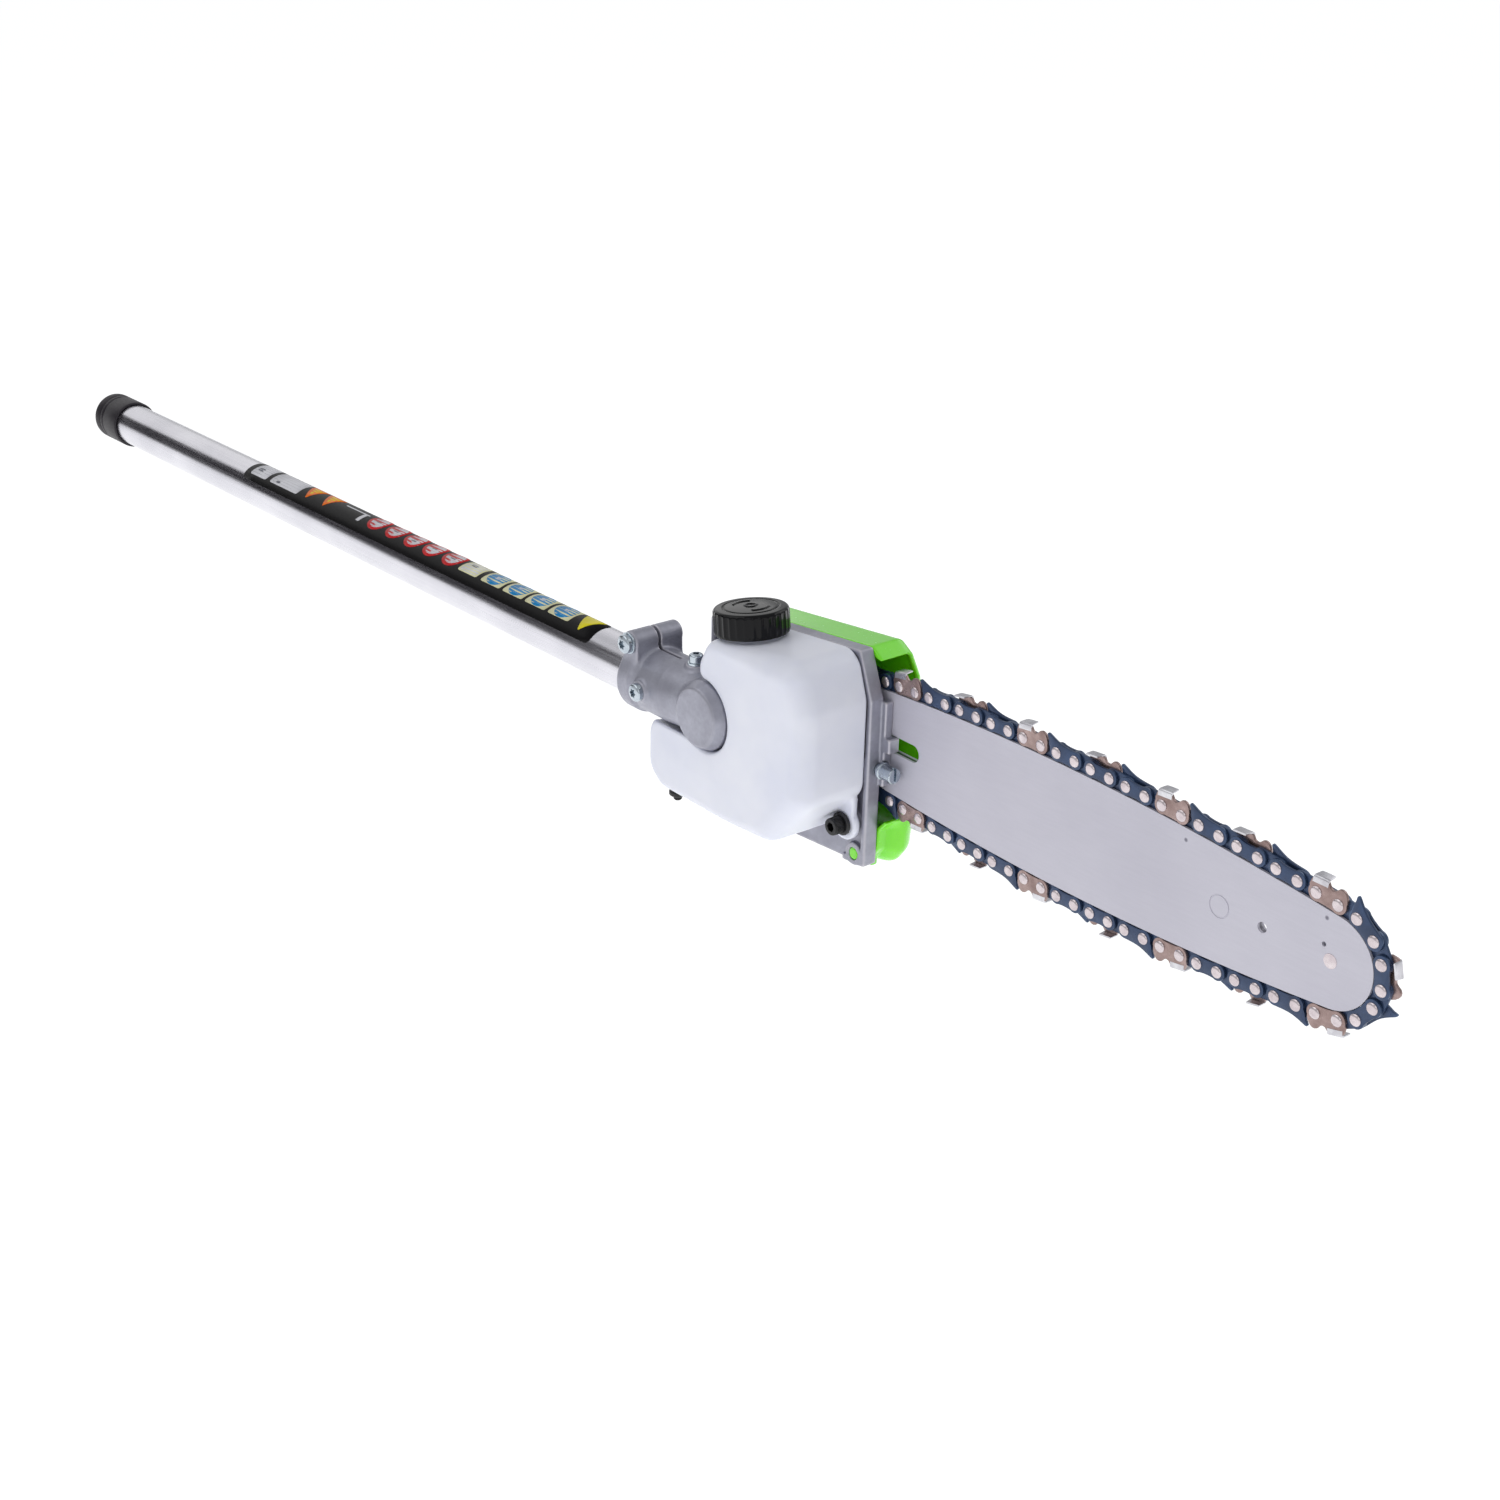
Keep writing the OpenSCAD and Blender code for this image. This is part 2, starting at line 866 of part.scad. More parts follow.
// Top plate of a cutter, which overhangs the chain's middle from its own side
module top_plate(side, m) {
    reach = 2.9;
    outer = strap_in + strap_t + 1;
    y0 = side < 0 ? bar_y - outer : bar_y - (reach - strap_in - strap_t);
    slab(y0, y0 + outer + reach - strap_in - strap_t)
        on_link(strap_rear(m), strap_front(m))
            polygon([[-4.4, cutter_top - 2.1], [-4.4, cutter_top - 1.1], [3.4, cutter_top],
                [3.2, cutter_top - 1.1]]);
}

module cutter(side, m) {
    union() {
        strap(side, m)
            cutter_shape();
        top_plate(side, m);
    }
}

module chain_drive_links() {
    drive_pitch = link_pitch - strap_pitch;
    tang = 7.6;
    color("#2c4258")
        head()
            for (m = [0 : link_count - 1])
                slab(bar_y - drive_link_t / 2, bar_y + drive_link_t / 2)
                    on_link(strap_front(m), strap_rear(m - 1))
                        difference() {
                            union() {
                                strap_body(drive_pitch);
                                polygon([[-1.6, -2], [-0.6, -5.2], [2.4, -tang], [5.4, -tang],
                                    [drive_pitch + 0.2, -4.6], [drive_pitch + 1.6, -2]]);
                            }
                            two_rivet_holes(drive_pitch);
                        }
}

module chain_rivets() {
    color("#c0c0c4")
        head()
            for (m = [0 : link_count - 1], u = [strap_front(m), strap_rear(m)])
                let (p = path_point(u)) {
                    rod_y(p, rivet_r, bar_y - rivet_reach, bar_y + rivet_reach);
                    rod_y(p, rivet_head_r, bar_y - rivet_reach, bar_y - strap_in - strap_t);
                    rod_y(p, rivet_head_r, bar_y + strap_in + strap_t, bar_y + rivet_reach);
                }
}

module chain_left_cutters() {
    color("#8c7268")
        head()
            for (m = [1 : 4 : link_count - 1])
                cutter(-1, m);
}

module chain_right_cutters() {
    color("#8c7268")
        head()
            for (m = [3 : 4 : link_count - 1])
                cutter(1, m);
}

module chain_bumper_straps() {
    color("#2c4258")
        head()
            for (m = [0 : 2 : link_count - 1])
                strap(m % 4 == 0 ? -1 : 1, m)
                    bumper_shape();
}

module chain_tie_straps() {
    color("#2c4258")
        head()
            for (m = [0 : link_count - 1])
                strap(m % 4 == 0 || m % 4 == 1 ? 1 : -1, m)
                    plain_strap_shape();
}

// ---- Cover ----

module cover_outline(inset) {
    offset(delta = -inset)
        polygon([[-40, -57], [-32, -69.5], [60, -64.5], [70, -63.5], [76, -55], [77.5, -38],
            [79, -20], [79, 8], [74.5, 29], [68.5, 38.5], [61, 43], [-36, 32], [-40, 27]]);
}

module sprocket_cover() {
    cover_near_y = plate_far_y + 0.1;
    boss_r = 9;
    edge = 7;
    mouth_lip = 4.5;
    mouth_low = -37.5;
    mouth_high = 38;
    lug_t = 3.5;
    color("#6edc14")
        head()
            difference() {
                union() {
                    difference() {
                        union() {
                            slab(cover_near_y, cover_y - edge)
                                cover_outline(0);
                            slab(cover_y - edge - eps, cover_y - edge / 3)
                                cover_outline(1.5);
                            slab(cover_y - edge / 3 - eps, cover_y)
                                cover_outline(4.5);
                        }
                        slab(cover_near_y - 1, cover_y - edge)
                            cover_outline(cover_wall);
                        slab(cover_y - edge - 1, cover_y - cover_wall)
                            cover_outline(4.5 + cover_wall);
                        // Open front, where the bar and chain leave
                        translate([57, cover_near_y - 1, mouth_low])
                            cube([40, cover_y - mouth_lip - cover_near_y + 1,
                                mouth_high - mouth_low]);
                    }
                    rod_y([stud_x, 0], boss_r, bar_y + bar_t / 2 + 0.3, cover_y - 1);
                    // Locating peg on a lug that stands on the lower wall
                    rod_y(peg_pos, peg_r, plate_near_y + 0.1, cover_near_y + 1);
                    rod_y(peg_pos, 4.4, cover_near_y, cover_near_y + lug_t);
                    slab(cover_near_y, cover_near_y + lug_t)
                        translate([peg_pos[0] - 4.4, -63])
                            square([8.8, 63 + peg_pos[1]]);
                }
                rod_y([stud_x, 0], stud_r + 0.15, 0, 80);
            }
}

module cover_nut() {
    nut_h = 8;
    flange_h = 1.6;
    color("#b8bcc0")
        head()
            difference() {
                union() {
                    rod_y([stud_x, 0], 9, cover_y + 0.1, cover_y + flange_h);
                    translate([stud_x, cover_y + flange_h - 0.5, 0])
                        rotate([-90, 0, 0])
                            cylinder(r = 7.5, h = nut_h - flange_h + 0.5, $fn = 6);
                }
                rod_y([stud_x, 0], stud_r + 0.06, 0, 80);
            }
}

// ---- Oil tank ----

module filler_frame() {
    head()
        translate([filler_x, filler_y, filler_z])
            rotate([0, -tank_slope, 0])
                children();
}

// Outline of the tank in the head's X and Z, before the gear case is cleared from it
module tank_outline() {
    offset(r = 6)
        offset(delta = -6)
            polygon([[-44, -19], [-35.5, -11.5], [-3, -11.5], [-6.5, 24], [0.5, 37.3],
                [62, 37.6 + 59 * tan(tank_slope - 1)], [69.4, 22], [69.4, -21.5], [44.5, -49],
                [-34, -49.5], [-44, -41.5]]);
}

module tank_solid(inset) {
    difference() {
        slab(tank_near_y + inset, tank_far_y - inset)
            offset(delta = -inset)
                tank_outline();
        rod_y([0, 0], case_r + 1 + inset, -60, 60);
        rod_x([0, 0], 18.4 + inset, -80, 0);
        rod_y([0, 0], 25 + inset, case_mouth_y - 5 - inset, 60);
        translate([-80, -20, -2])
            cube([78.5 + inset, 60, 20.5 + inset]);
    }
}

module oil_tank() {
    neck_r = 13.4;
    neck_bore = 11;
    neck_h = 9;
    color("#e1e4f2")
        difference() {
            union() {
                head()
                    tank_solid(0);
                filler_frame()
                    translate([0, 0, -1.5])
                        cylinder(r = neck_r, h = neck_h + 1.5);
                filler_frame()
                    for (z = [3.4, 6.4])
                        translate([0, 0, z])
                            cylinder(r = neck_r + 0.8, h = 1.2);
                head()
                    for (p = [ear_front, ear_back])
                        slab(ear_near_y, tank_far_y) {
                            translate(p)
                                circle(r = 8);
                            translate([p[0] - 8, p[1]])
                                square([14, 14]);
                        }
                head()
                    slab(18, tank_far_y)
                        polygon([[38, -48], [53, -48], [53, -30], [38, -30]]);
            }
            head()
                tank_solid(tank_wall);
            filler_frame()
                translate([0, 0, -5])
                    cylinder(r = neck_bore, h = neck_h + 6);
            // Grommet holes, and room for the grommets' rims and the screw heads
            head()
                for (p = [ear_front, ear_back]) {
                    rod_y(p, 4, 15, 40);
                    rod_y(p, grommet_rim_r + 0.15, 13, ear_near_y);
                }
            head()
                translate([outlet_x, outlet_y, -53])
                    cylinder(r = 3.4, h = 9);
        }
}

module tank_grommets() {
    color("#1e1e20")
        head()
            for (p = [ear_front, ear_back])
                difference() {
                    union() {
                        rod_y(p, 4, ear_near_y - 1, tank_far_y + 0.8);
                        rod_y(p, grommet_rim_r, ear_near_y - 2, ear_near_y);
                    }
                    rod_y(p, 2.1, 15, 40);
                }
}

module tank_screws() {
    color("#1e1e20")
        head()
            for (p = [ear_front, ear_back])
                difference() {
                    union() {
                        rod_y(p, 4.2, screw_head_y, ear_near_y - 2);
                        rod_y(p, 2.1, ear_near_y - 3, plate_far_y - 1.5);
                    }
                    translate([p[0], screw_head_y - 1, p[1]])
                        rotate([-90, 0, 0])
                            cylinder(r = 2.3, h = 4, $fn = 6);
                }
}

module tank_outlet() {
    color("#1e1e20")
        head()
            translate([outlet_x, outlet_y, -48.3]) {
                difference() {
                    union() {
                        translate([0, 0, -2])
                            cylinder(r = 3.4, h = 6);
                        translate([0, 0, -3.6])
                            cylinder(r = 4.2, h = 2.2);
                        translate([0, 0, -6.2])
                            cylinder(r = 2.1, h = 5);
                    }
                    translate([0, 0, -12])
                        cylinder(r = 1.4, h = 20);
                }
            }
}

module cap_gasket() {
    color("#2c2c2e")
        filler_frame()
            translate([0, 0, 9.1])
                difference() {
                    cylinder(r = 13.8, h = 1.2);
                    translate([0, 0, -1])
                        cylinder(r = 10.4, h = 4);
                }
}

module filler_cap() {
    cap_base = 0.7;
    cap_top = 12.9;
    ceiling = 10.45;
    ribs = 40;
    color("#141416")
        filler_frame()
            difference() {
                union() {
                    translate([0, 0, cap_base])
                        cylinder(r = filler_r - 0.5, h = cap_top - cap_base - 1);
                    translate([0, 0, cap_top - 1])
                        cylinder(r1 = filler_r - 0.5, r2 = filler_r - 2, h = 1);
                    for (i = [0 : ribs - 1])
                        rotate([0, 0, i * 360 / ribs])
                            translate([filler_r - 1.2, -0.7, cap_base])
                                cube([1.2, 1.4, cap_top - cap_base - 1.6]);
                    // Raised grip ring and bar
                    difference() {
                        translate([0, 0, cap_top - 0.5])
                            cylinder(r = 9, h = 1.1);
                        translate([0, 0, cap_top - 1])
                            cylinder(r = 7.6, h = 3);
                    }
                    translate([-6, -1.2, cap_top - 0.5])
                        cube([12, 2.4, 1.1]);
                }
                translate([0, 0, cap_base - 1])
                    cylinder(r = 14.6, h = ceiling - cap_base + 1);
            }
}

tube();
tube_end_cap();
label_strip();
drive_shaft();
shaft_bushings();
gear_case();
clamp_screw();
locating_screw();
grease_plug();
pinion();
pinion_bearings();
pinion_circlip();
ring_gear();
output_shaft();
output_bearings();
oil_seal();
case_screws();
base_plate();
bar_stud();
pump_worm();
pump_barrel();
pump_plunger();
sprocket();
sprocket_washer();
e_clip();
tension_screw();
tension_pin();
bar_near_plate();
bar_core_plate();
bar_far_plate();
nose_wheel();
nose_bearing();
nose_rivet();
chain_drive_links();
chain_left_cutters();
chain_right_cutters();
chain_bumper_straps();
chain_tie_straps();
chain_rivets();
sprocket_cover();
cover_nut();
oil_tank();
tank_screws();
tank_grommets();
tank_outlet();
cap_gasket();
filler_cap();
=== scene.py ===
import json
import math

import bmesh
import bpy
import numpy as np
from mathutils import Matrix, Vector


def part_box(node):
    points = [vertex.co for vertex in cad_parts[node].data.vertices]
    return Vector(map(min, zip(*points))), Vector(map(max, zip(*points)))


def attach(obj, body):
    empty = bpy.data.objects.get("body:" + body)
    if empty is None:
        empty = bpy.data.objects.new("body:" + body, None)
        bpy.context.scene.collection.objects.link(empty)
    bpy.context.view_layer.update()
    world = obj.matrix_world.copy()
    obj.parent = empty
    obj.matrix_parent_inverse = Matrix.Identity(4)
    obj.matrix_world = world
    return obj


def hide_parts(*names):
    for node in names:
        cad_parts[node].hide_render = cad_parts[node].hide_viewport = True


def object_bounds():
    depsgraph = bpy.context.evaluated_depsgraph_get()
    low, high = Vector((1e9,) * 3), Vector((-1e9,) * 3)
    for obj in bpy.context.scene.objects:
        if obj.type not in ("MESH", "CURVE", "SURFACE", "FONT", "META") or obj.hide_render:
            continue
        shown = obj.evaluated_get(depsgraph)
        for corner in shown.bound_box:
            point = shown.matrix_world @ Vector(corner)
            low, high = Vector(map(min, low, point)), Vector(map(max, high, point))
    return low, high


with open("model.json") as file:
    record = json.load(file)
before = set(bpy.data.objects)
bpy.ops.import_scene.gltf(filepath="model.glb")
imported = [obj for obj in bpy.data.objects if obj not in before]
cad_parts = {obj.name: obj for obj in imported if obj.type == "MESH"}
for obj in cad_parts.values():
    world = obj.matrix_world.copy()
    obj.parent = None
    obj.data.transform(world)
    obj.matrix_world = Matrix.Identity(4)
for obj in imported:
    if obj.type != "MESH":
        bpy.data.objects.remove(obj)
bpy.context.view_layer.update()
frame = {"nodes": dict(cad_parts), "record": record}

MM = 0.001
JOINTS = {j["name"]: j for j in frame["record"]["behaviour"]["joints"]}
NODES = frame["nodes"]

# The head's frame, in millimetres: origin on the output shaft, +X along the drooping bar
OUTPUT_X = JOINTS["output_spin"]["pos_m"][0] / MM
SLIDE = JOINTS["bar_slide"]["axis"]
DROOP = math.atan2(SLIDE[2], -SLIDE[0])
COS_D, SIN_D = math.cos(DROOP), math.sin(DROOP)
HEAD = np.array([[COS_D, 0, SIN_D, OUTPUT_X], [0, 1, 0, 0], [-SIN_D, 0, COS_D, 0], [0, 0, 0, 1]])
POLE = np.eye(4)
GEAR = np.array([[1, 0, 0, OUTPUT_X], [0, 1, 0, 0], [0, 0, 1, 0], [0, 0, 0, 1.0]])

# Stations across the head
PLATE_NEAR, PLATE_WEB, PLATE_FAR = 27.0, 29.5, 34.5
BAR_Y = 40.0
COVER_FAR = 56.0
TUBE_R = 13.0
TUBE_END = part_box("tube")[1].x / MM


def srgb(r, g, b):
    """A display colour, 0 to 255, as linear values."""
    out = []
    for v in (r / 255, g / 255, b / 255):
        out.append(v / 12.92 if v <= 0.04045 else ((v + 0.055) / 1.055) ** 2.4)
    return (*out, 1.0)


# ---------------------------------------------------------------- materials

def new_material(name):
    mat = bpy.data.materials.new(name)
    mat.use_nodes = True
    tree = mat.node_tree
    return mat, tree, tree.nodes["Principled BSDF"]


def object_coords(tree, scale=(1, 1, 1)):
    coord = tree.nodes.new("ShaderNodeTexCoord")
    mapping = tree.nodes.new("ShaderNodeMapping")
    mapping.inputs["Scale"].default_value = scale
    tree.links.new(coord.outputs["Object"], mapping.inputs["Vector"])
    return mapping.outputs["Vector"]


def noise(tree, vector, scale, detail):
    node = tree.nodes.new("ShaderNodeTexNoise")
    node.inputs["Scale"].default_value = scale
    node.inputs["Detail"].default_value = detail
    node.inputs["Roughness"].default_value = 0.55
    tree.links.new(vector, node.inputs["Vector"])
    return node.outputs["Fac"]


def remap(tree, value, low, high, start=0.3, stop=0.7):
    node = tree.nodes.new("ShaderNodeMapRange")
    node.inputs["From Min"].default_value = start
    node.inputs["From Max"].default_value = stop
    node.inputs["To Min"].default_value = low
    node.inputs["To Max"].default_value = high
    tree.links.new(value, node.inputs["Value"])
    return node.outputs["Result"]


def mix_colour(tree, factor, a, b):
    node = tree.nodes.new("ShaderNodeMix")
    node.data_type = "RGBA"
    for key, value in ((6, a), (7, b)):
        if isinstance(value, tuple):
            node.inputs[key].default_value = value
        else:
            tree.links.new(value, node.inputs[key])
    tree.links.new(factor, node.inputs[0])
    return node.outputs[2]


def bump(tree, height, strength, distance, normal=None):
    node = tree.nodes.new("ShaderNodeBump")
    node.inputs["Strength"].default_value = strength
    node.inputs["Distance"].default_value = distance
    tree.links.new(height, node.inputs["Height"])
    if normal is not None:
        tree.links.new(normal, node.inputs["Normal"])
    return node.outputs["Normal"]


def shade(name, colour, dark, metallic, rough, grain, relief, stretch=(1, 1, 1), wear_and_highlight=None,
          blotch=35.0, coat=0.0, coat_rough=0.1, ior=1.5, glow=0.0):
    """A surface whose colour and roughness vary, with fine relief and, if wanted, pale edges that are part
    wear and part painted highlight.
    """
    mat, tree, bsdf = new_material(name)
    vector = object_coords(tree)
    fine = noise(tree, object_coords(tree, stretch), grain, 6.0)
    broad = noise(tree, vector, blotch, 3.0)
    mixed = mix_colour(tree, remap(tree, broad, 0.0, 1.0), colour, dark)
    grainy = mix_colour(tree, remap(tree, fine, 0.0, 0.35), mixed, dark)
    # Pointiness lightens sharp edges: partly wear, partly a painted edge highlight.
    if wear_and_highlight:
        geometry = tree.nodes.new("ShaderNodeNewGeometry")
        edge = remap(tree, geometry.outputs["Pointiness"], 0.0, wear_and_highlight[1], 0.51, 0.58)
        grainy = mix_colour(tree, edge, grainy, wear_and_highlight[0])
    tree.links.new(grainy, bsdf.inputs["Base Color"])
    tree.links.new(remap(tree, fine, rough[0], rough[1]), bsdf.inputs["Roughness"])
    bsdf.inputs["Metallic"].default_value = metallic
    bsdf.inputs["IOR"].default_value = ior
    bsdf.inputs["Coat Weight"].default_value = coat
    bsdf.inputs["Coat Roughness"].default_value = coat_rough
    bsdf.inputs["Subsurface Weight"].default_value = glow
    bsdf.inputs["Subsurface Radius"].default_value = (0.002, 0.003, 0.001)
    bsdf.inputs["Subsurface Scale"].default_value = 1.0
    tree.links.new(bump(tree, fine, relief[0], relief[1] * MM), bsdf.inputs["Normal"])
    return mat


def tank_material():
    """Milky blow-moulded polyethylene: light scatters inside, the skin is satin."""
    mat, tree, bsdf = new_material("tank_plastic")
    vector = object_coords(tree)
    cloud = noise(tree, vector, 28.0, 3.0)
    colour = mix_colour(tree, remap(tree, cloud, 0.0, 1.0), srgb(236, 238, 252), srgb(226, 229, 246))
    tree.links.new(colour, bsdf.inputs["Base Color"])
    peel = noise(tree, vector, 650.0, 3.0)
    wave = noise(tree, vector, 60.0, 2.0)
    tree.links.new(remap(tree, peel, 0.36, 0.46), bsdf.inputs["Roughness"])
    first = bump(tree, wave, 0.12, 1.2 * MM)
    tree.links.new(bump(tree, peel, 0.12, 0.12 * MM, first), bsdf.inputs["Normal"])
    bsdf.inputs["Subsurface Weight"].default_value = 0.35
    bsdf.inputs["Subsurface Radius"].default_value = (0.006, 0.006, 0.007)
    bsdf.inputs["Subsurface Scale"].default_value = 0.6
    bsdf.inputs["Coat Weight"].default_value = 0.12
    bsdf.inputs["Coat Roughness"].default_value = 0.28
    return mat


def bar_material(spots):
    """Satin painted steel with faint rolling marks, and at the spots small pressed weld marks whose dimples
    are darkened with painted shade.
    """
    mat, tree, bsdf = new_material("bar_paint")
    vector = object_coords(tree)
    rolled = noise(tree, object_coords(tree, (0.08, 1, 1)), 900.0, 5.0)
    cloud = noise(tree, vector, 14.0, 3.0)
    colour = mix_colour(tree, remap(tree, cloud, 0.0, 1.0), srgb(202, 200, 211), srgb(192, 190, 202))
    colour = mix_colour(tree, remap(tree, rolled, 0.0, 0.12), colour, srgb(176, 174, 186))
    # Each spot darkens the paint to a grey: painted shade of a pressed weld dimple.
    for spot in spots:
        away = tree.nodes.new("ShaderNodeVectorMath")
        away.operation = "DISTANCE"
        coord = tree.nodes.new("ShaderNodeTexCoord")
        tree.links.new(coord.outputs["Object"], away.inputs[0])
        away.inputs[1].default_value = spot
        dimple_shade = remap(tree, away.outputs["Value"], 0.0, 1.0, 0.5 * MM, 1.1 * MM)
        colour = mix_colour(tree, dimple_shade, srgb(120, 118, 132), colour)
    tree.links.new(colour, bsdf.inputs["Base Color"])
    tree.links.new(remap(tree, rolled, 0.36, 0.46), bsdf.inputs["Roughness"])
    bsdf.inputs["Metallic"].default_value = 0.2
    tree.links.new(bump(tree, rolled, 0.08, 0.02 * MM), bsdf.inputs["Normal"])
    return mat


def point(x, y, z, place=HEAD):
    """A millimetre point of the head's frame, in metres of the row's frame."""
    p = place @ np.array([x, y, z, 1.0])
    return tuple(float(v) * MM for v in p[:3])


def make_materials():
    """Every shaded surface: its two display colours, then shade's other values."""
    # pale is the lightened edge colour: wear together with a painted edge highlight.
    pale = srgb(214, 210, 216)
    made = {"tank_plastic": tank_material(),
            "bar_paint": bar_material([point(242.9, 38, 20.6), point(311.5, 38, 16.4)])}

    def add(name, colour, dark, *values, **more):
        made[name] = shade(name, srgb(*colour), srgb(*dark), *values, **more)

    add("tube_aluminium", (228, 227, 233), (208, 207, 214), 1.0, (0.2, 0.3), 900, (0.1, 0.03),
        (0.02, 1, 1), blotch=20)
    add("cap_rubber", (42, 36, 44), (30, 26, 33), 0.0, (0.45, 0.6), 1500, (0.35, 0.12), blotch=60)
    add("label_film", (8, 7, 9), (12, 11, 13), 0.0, (0.34, 0.42), 700, (0.06, 0.05), ior=1.22)
    add("shaft_steel", (170, 170, 176), (140, 140, 146), 1.0, (0.28, 0.4), 700, (0.15, 0.05), (1, 0.1, 1))
    add("bushing_plastic", (80, 80, 84), (66, 66, 70), 0.0, (0.45, 0.6), 900, (0.2, 0.1))
    add("cast_alloy", (174, 175, 187), (146, 146, 158), 0.6, (0.36, 0.5), 520, (0.5, 0.2),
        wear_and_highlight=(pale, 0.7), blotch=45)
    add("zinc_steel", (205, 214, 220), (176, 186, 196), 1.0, (0.16, 0.32), 800, (0.15, 0.06), blotch=160)
    add("gear_steel", (128, 126, 132), (84, 82, 88), 1.0, (0.3, 0.46), 600, (0.25, 0.08), wear_and_highlight=(pale, 0.6))
    add("bearing_steel", (192, 194, 198), (170, 172, 176), 1.0, (0.18, 0.28), 900, (0.08, 0.03))
    add("clip_steel", (80, 80, 86), (56, 56, 60), 0.8, (0.35, 0.5), 700, (0.2, 0.06))
    add("seal_rubber", (34, 34, 37), (24, 24, 27), 0.0, (0.42, 0.56), 1200, (0.25, 0.1))
    add("pump_bronze", (201, 172, 104), (170, 140, 82), 1.0, (0.25, 0.38), 800, (0.12, 0.05))
    add("core_steel", (140, 138, 146), (112, 110, 118), 1.0, (0.32, 0.46), 800, (0.15, 0.05), (0.1, 1, 1))
    add("chain_steel", (42, 62, 98), (26, 38, 66), 0.5, (0.26, 0.42), 500, (0.25, 0.08),
        wear_and_highlight=(srgb(110, 140, 180), 0.3), blotch=120, coat=0.25, coat_rough=0.15)
    add("cutter_chrome", (178, 156, 152), (138, 116, 112), 0.8, (0.22, 0.38), 520, (0.25, 0.08), blotch=150)
    add("cutter_edge", (226, 226, 230), (190, 188, 194), 1.0, (0.25, 0.38), 600, (0.1, 0.04),
        (1, 6, 1), blotch=200)
    add("rivet_steel", (228, 218, 220), (198, 186, 190), 0.8, (0.16, 0.28), 700, (0.08, 0.03), blotch=260)
    add("cover_green", (128, 240, 18), (116, 232, 12), 0.0, (0.2, 0.28), 420, (0.08, 0.06),
        blotch=26, coat=0.6, coat_rough=0.16, glow=0.1)
    add("cap_plastic", (9, 9, 13), (5, 5, 8), 0.0, (0.08, 0.14), 600, (0.1, 0.05), blotch=80, ior=1.3)
    add("black_steel", (20, 20, 22), (12, 12, 14), 0.2, (0.3, 0.45), 700, (0.2, 0.06), blotch=120)
    return made


MATERIALS = make_materials()

PRINTS = {
    "print_white": srgb(226, 226, 232),
    "print_grey": srgb(120, 122, 132),
    "print_red": srgb(214, 34, 40),
    "print_orange": srgb(248, 120, 22),
    "print_cream": srgb(236, 234, 190),
    "print_blue": srgb(24, 140, 205),
    "print_yellow": srgb(240, 226, 30),
}
for print_name, ink in PRINTS.items():
    deeper = tuple(v * 0.86 for v in ink[:3]) + (1.0,)
    MATERIALS[print_name] = shade(print_name, ink, deeper, 0.0, (0.32, 0.42), 900, (0.05, 0.04),
                                  ior=1.3)


# ---------------------------------------------------------------- pieces from meshes

def face_outwards(mesh):
    """Turns every closed shell's faces outwards."""
    bm = bmesh.new()
    bm.from_mesh(mesh)
    bmesh.ops.recalc_face_normals(bm, faces=bm.faces)
    bm.to_mesh(mesh)
    bm.free()


def add_piece(name, verts, faces, materials, body, nodes=(), place=HEAD, groups=None,
              sharp=None):
    """Makes a piece from millimetre points of a local frame. groups gives each face's material."""
    pts = np.asarray(verts, float)
    pts = pts @ place[:3, :3].T + place[:3, 3]
    mesh = bpy.data.meshes.new(name)
    mesh.from_pydata([tuple(p) for p in pts * MM], [], [tuple(int(i) for i in f) for f in faces])
    for material in materials:
        mesh.materials.append(MATERIALS[material])
    if groups is not None:
        mesh.polygons.foreach_set("material_index", np.asarray(groups, np.int32))
    mesh.polygons.foreach_set("use_smooth", [True] * len(mesh.polygons))
    mesh.validate()
    if sharp is not None:
        face_outwards(mesh)
        mesh.set_sharp_from_angle(angle=math.radians(sharp))
    mesh.update()
    obj = bpy.data.objects.new(name, mesh)
    bpy.context.scene.collection.objects.link(obj)
    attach(obj, body)
    if nodes:
        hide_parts(*nodes)
    return obj


class Parts:
    """Gathers several local meshes, with a material number each, into one piece."""

    def __init__(self):
        self.verts, self.faces, self.groups, self.count = [], [], [], 0

    def add(self, verts, faces, group=0):
        verts = np.asarray(verts, float)
        self.verts.append(verts)
        self.faces += [tuple(i + self.count for i in f) for f in faces]
        self.groups += [group] * len(faces)
        self.count += len(verts)

    def make(self, name, materials, body, nodes=(), place=HEAD, sharp=None):
        return add_piece(name, np.concatenate(self.verts), self.faces, materials, body,
                         nodes, place, self.groups, sharp)


def lathe(profile, axis="x", centre=(0, 0, 0), turns=96):
    """Turns a loop of (along, radius) points about a line through centre."""
    count = len(profile)
    angles = np.linspace(0, 2 * math.pi, turns, endpoint=False)
    along = np.array([p[0] for p in profile])[None, :].repeat(turns, 0)
    radius = np.array([p[1] for p in profile])[None, :].repeat(turns, 0)
    u = radius * np.cos(angles)[:, None]
    v = radius * np.sin(angles)[:, None]
    order = {"x": (along, u, v), "y": (v, along, u), "z": (u, v, along)}[axis]
    verts = np.stack(order, -1).reshape(-1, 3) + np.array(centre)
    faces = []
    for i in range(turns):
        j = (i + 1) % turns
        for k in range(count):
            n = (k + 1) % count
            faces.append((i * count + k, i * count + n, j * count + n, j * count + k))
    return verts, faces


def rounded(points, radius, steps=4):
    """A closed outline with each corner rounded, no more than its sides allow."""
    pts = [np.array(p, float) for p in points]
    out = []
    for i, p in enumerate(pts):
        a, b = pts[i - 1] - p, pts[(i + 1) % len(pts)] - p
        la, lb = np.linalg.norm(a), np.linalg.norm(b)
        a, b = a / la, b / lb
        half = math.acos(max(-1, min(1, float(a @ b)))) / 2
        want = radius / max(math.tan(half), 1e-3)
        cut = min(want, la * 0.45, lb * 0.45)
        for k in range(steps + 1):
            t = k / steps
            q = (1 - t) ** 2 * (p + a * cut) + 2 * t * (1 - t) * p + t * t * (p + b * cut)
            out.append(tuple(q))
    return out


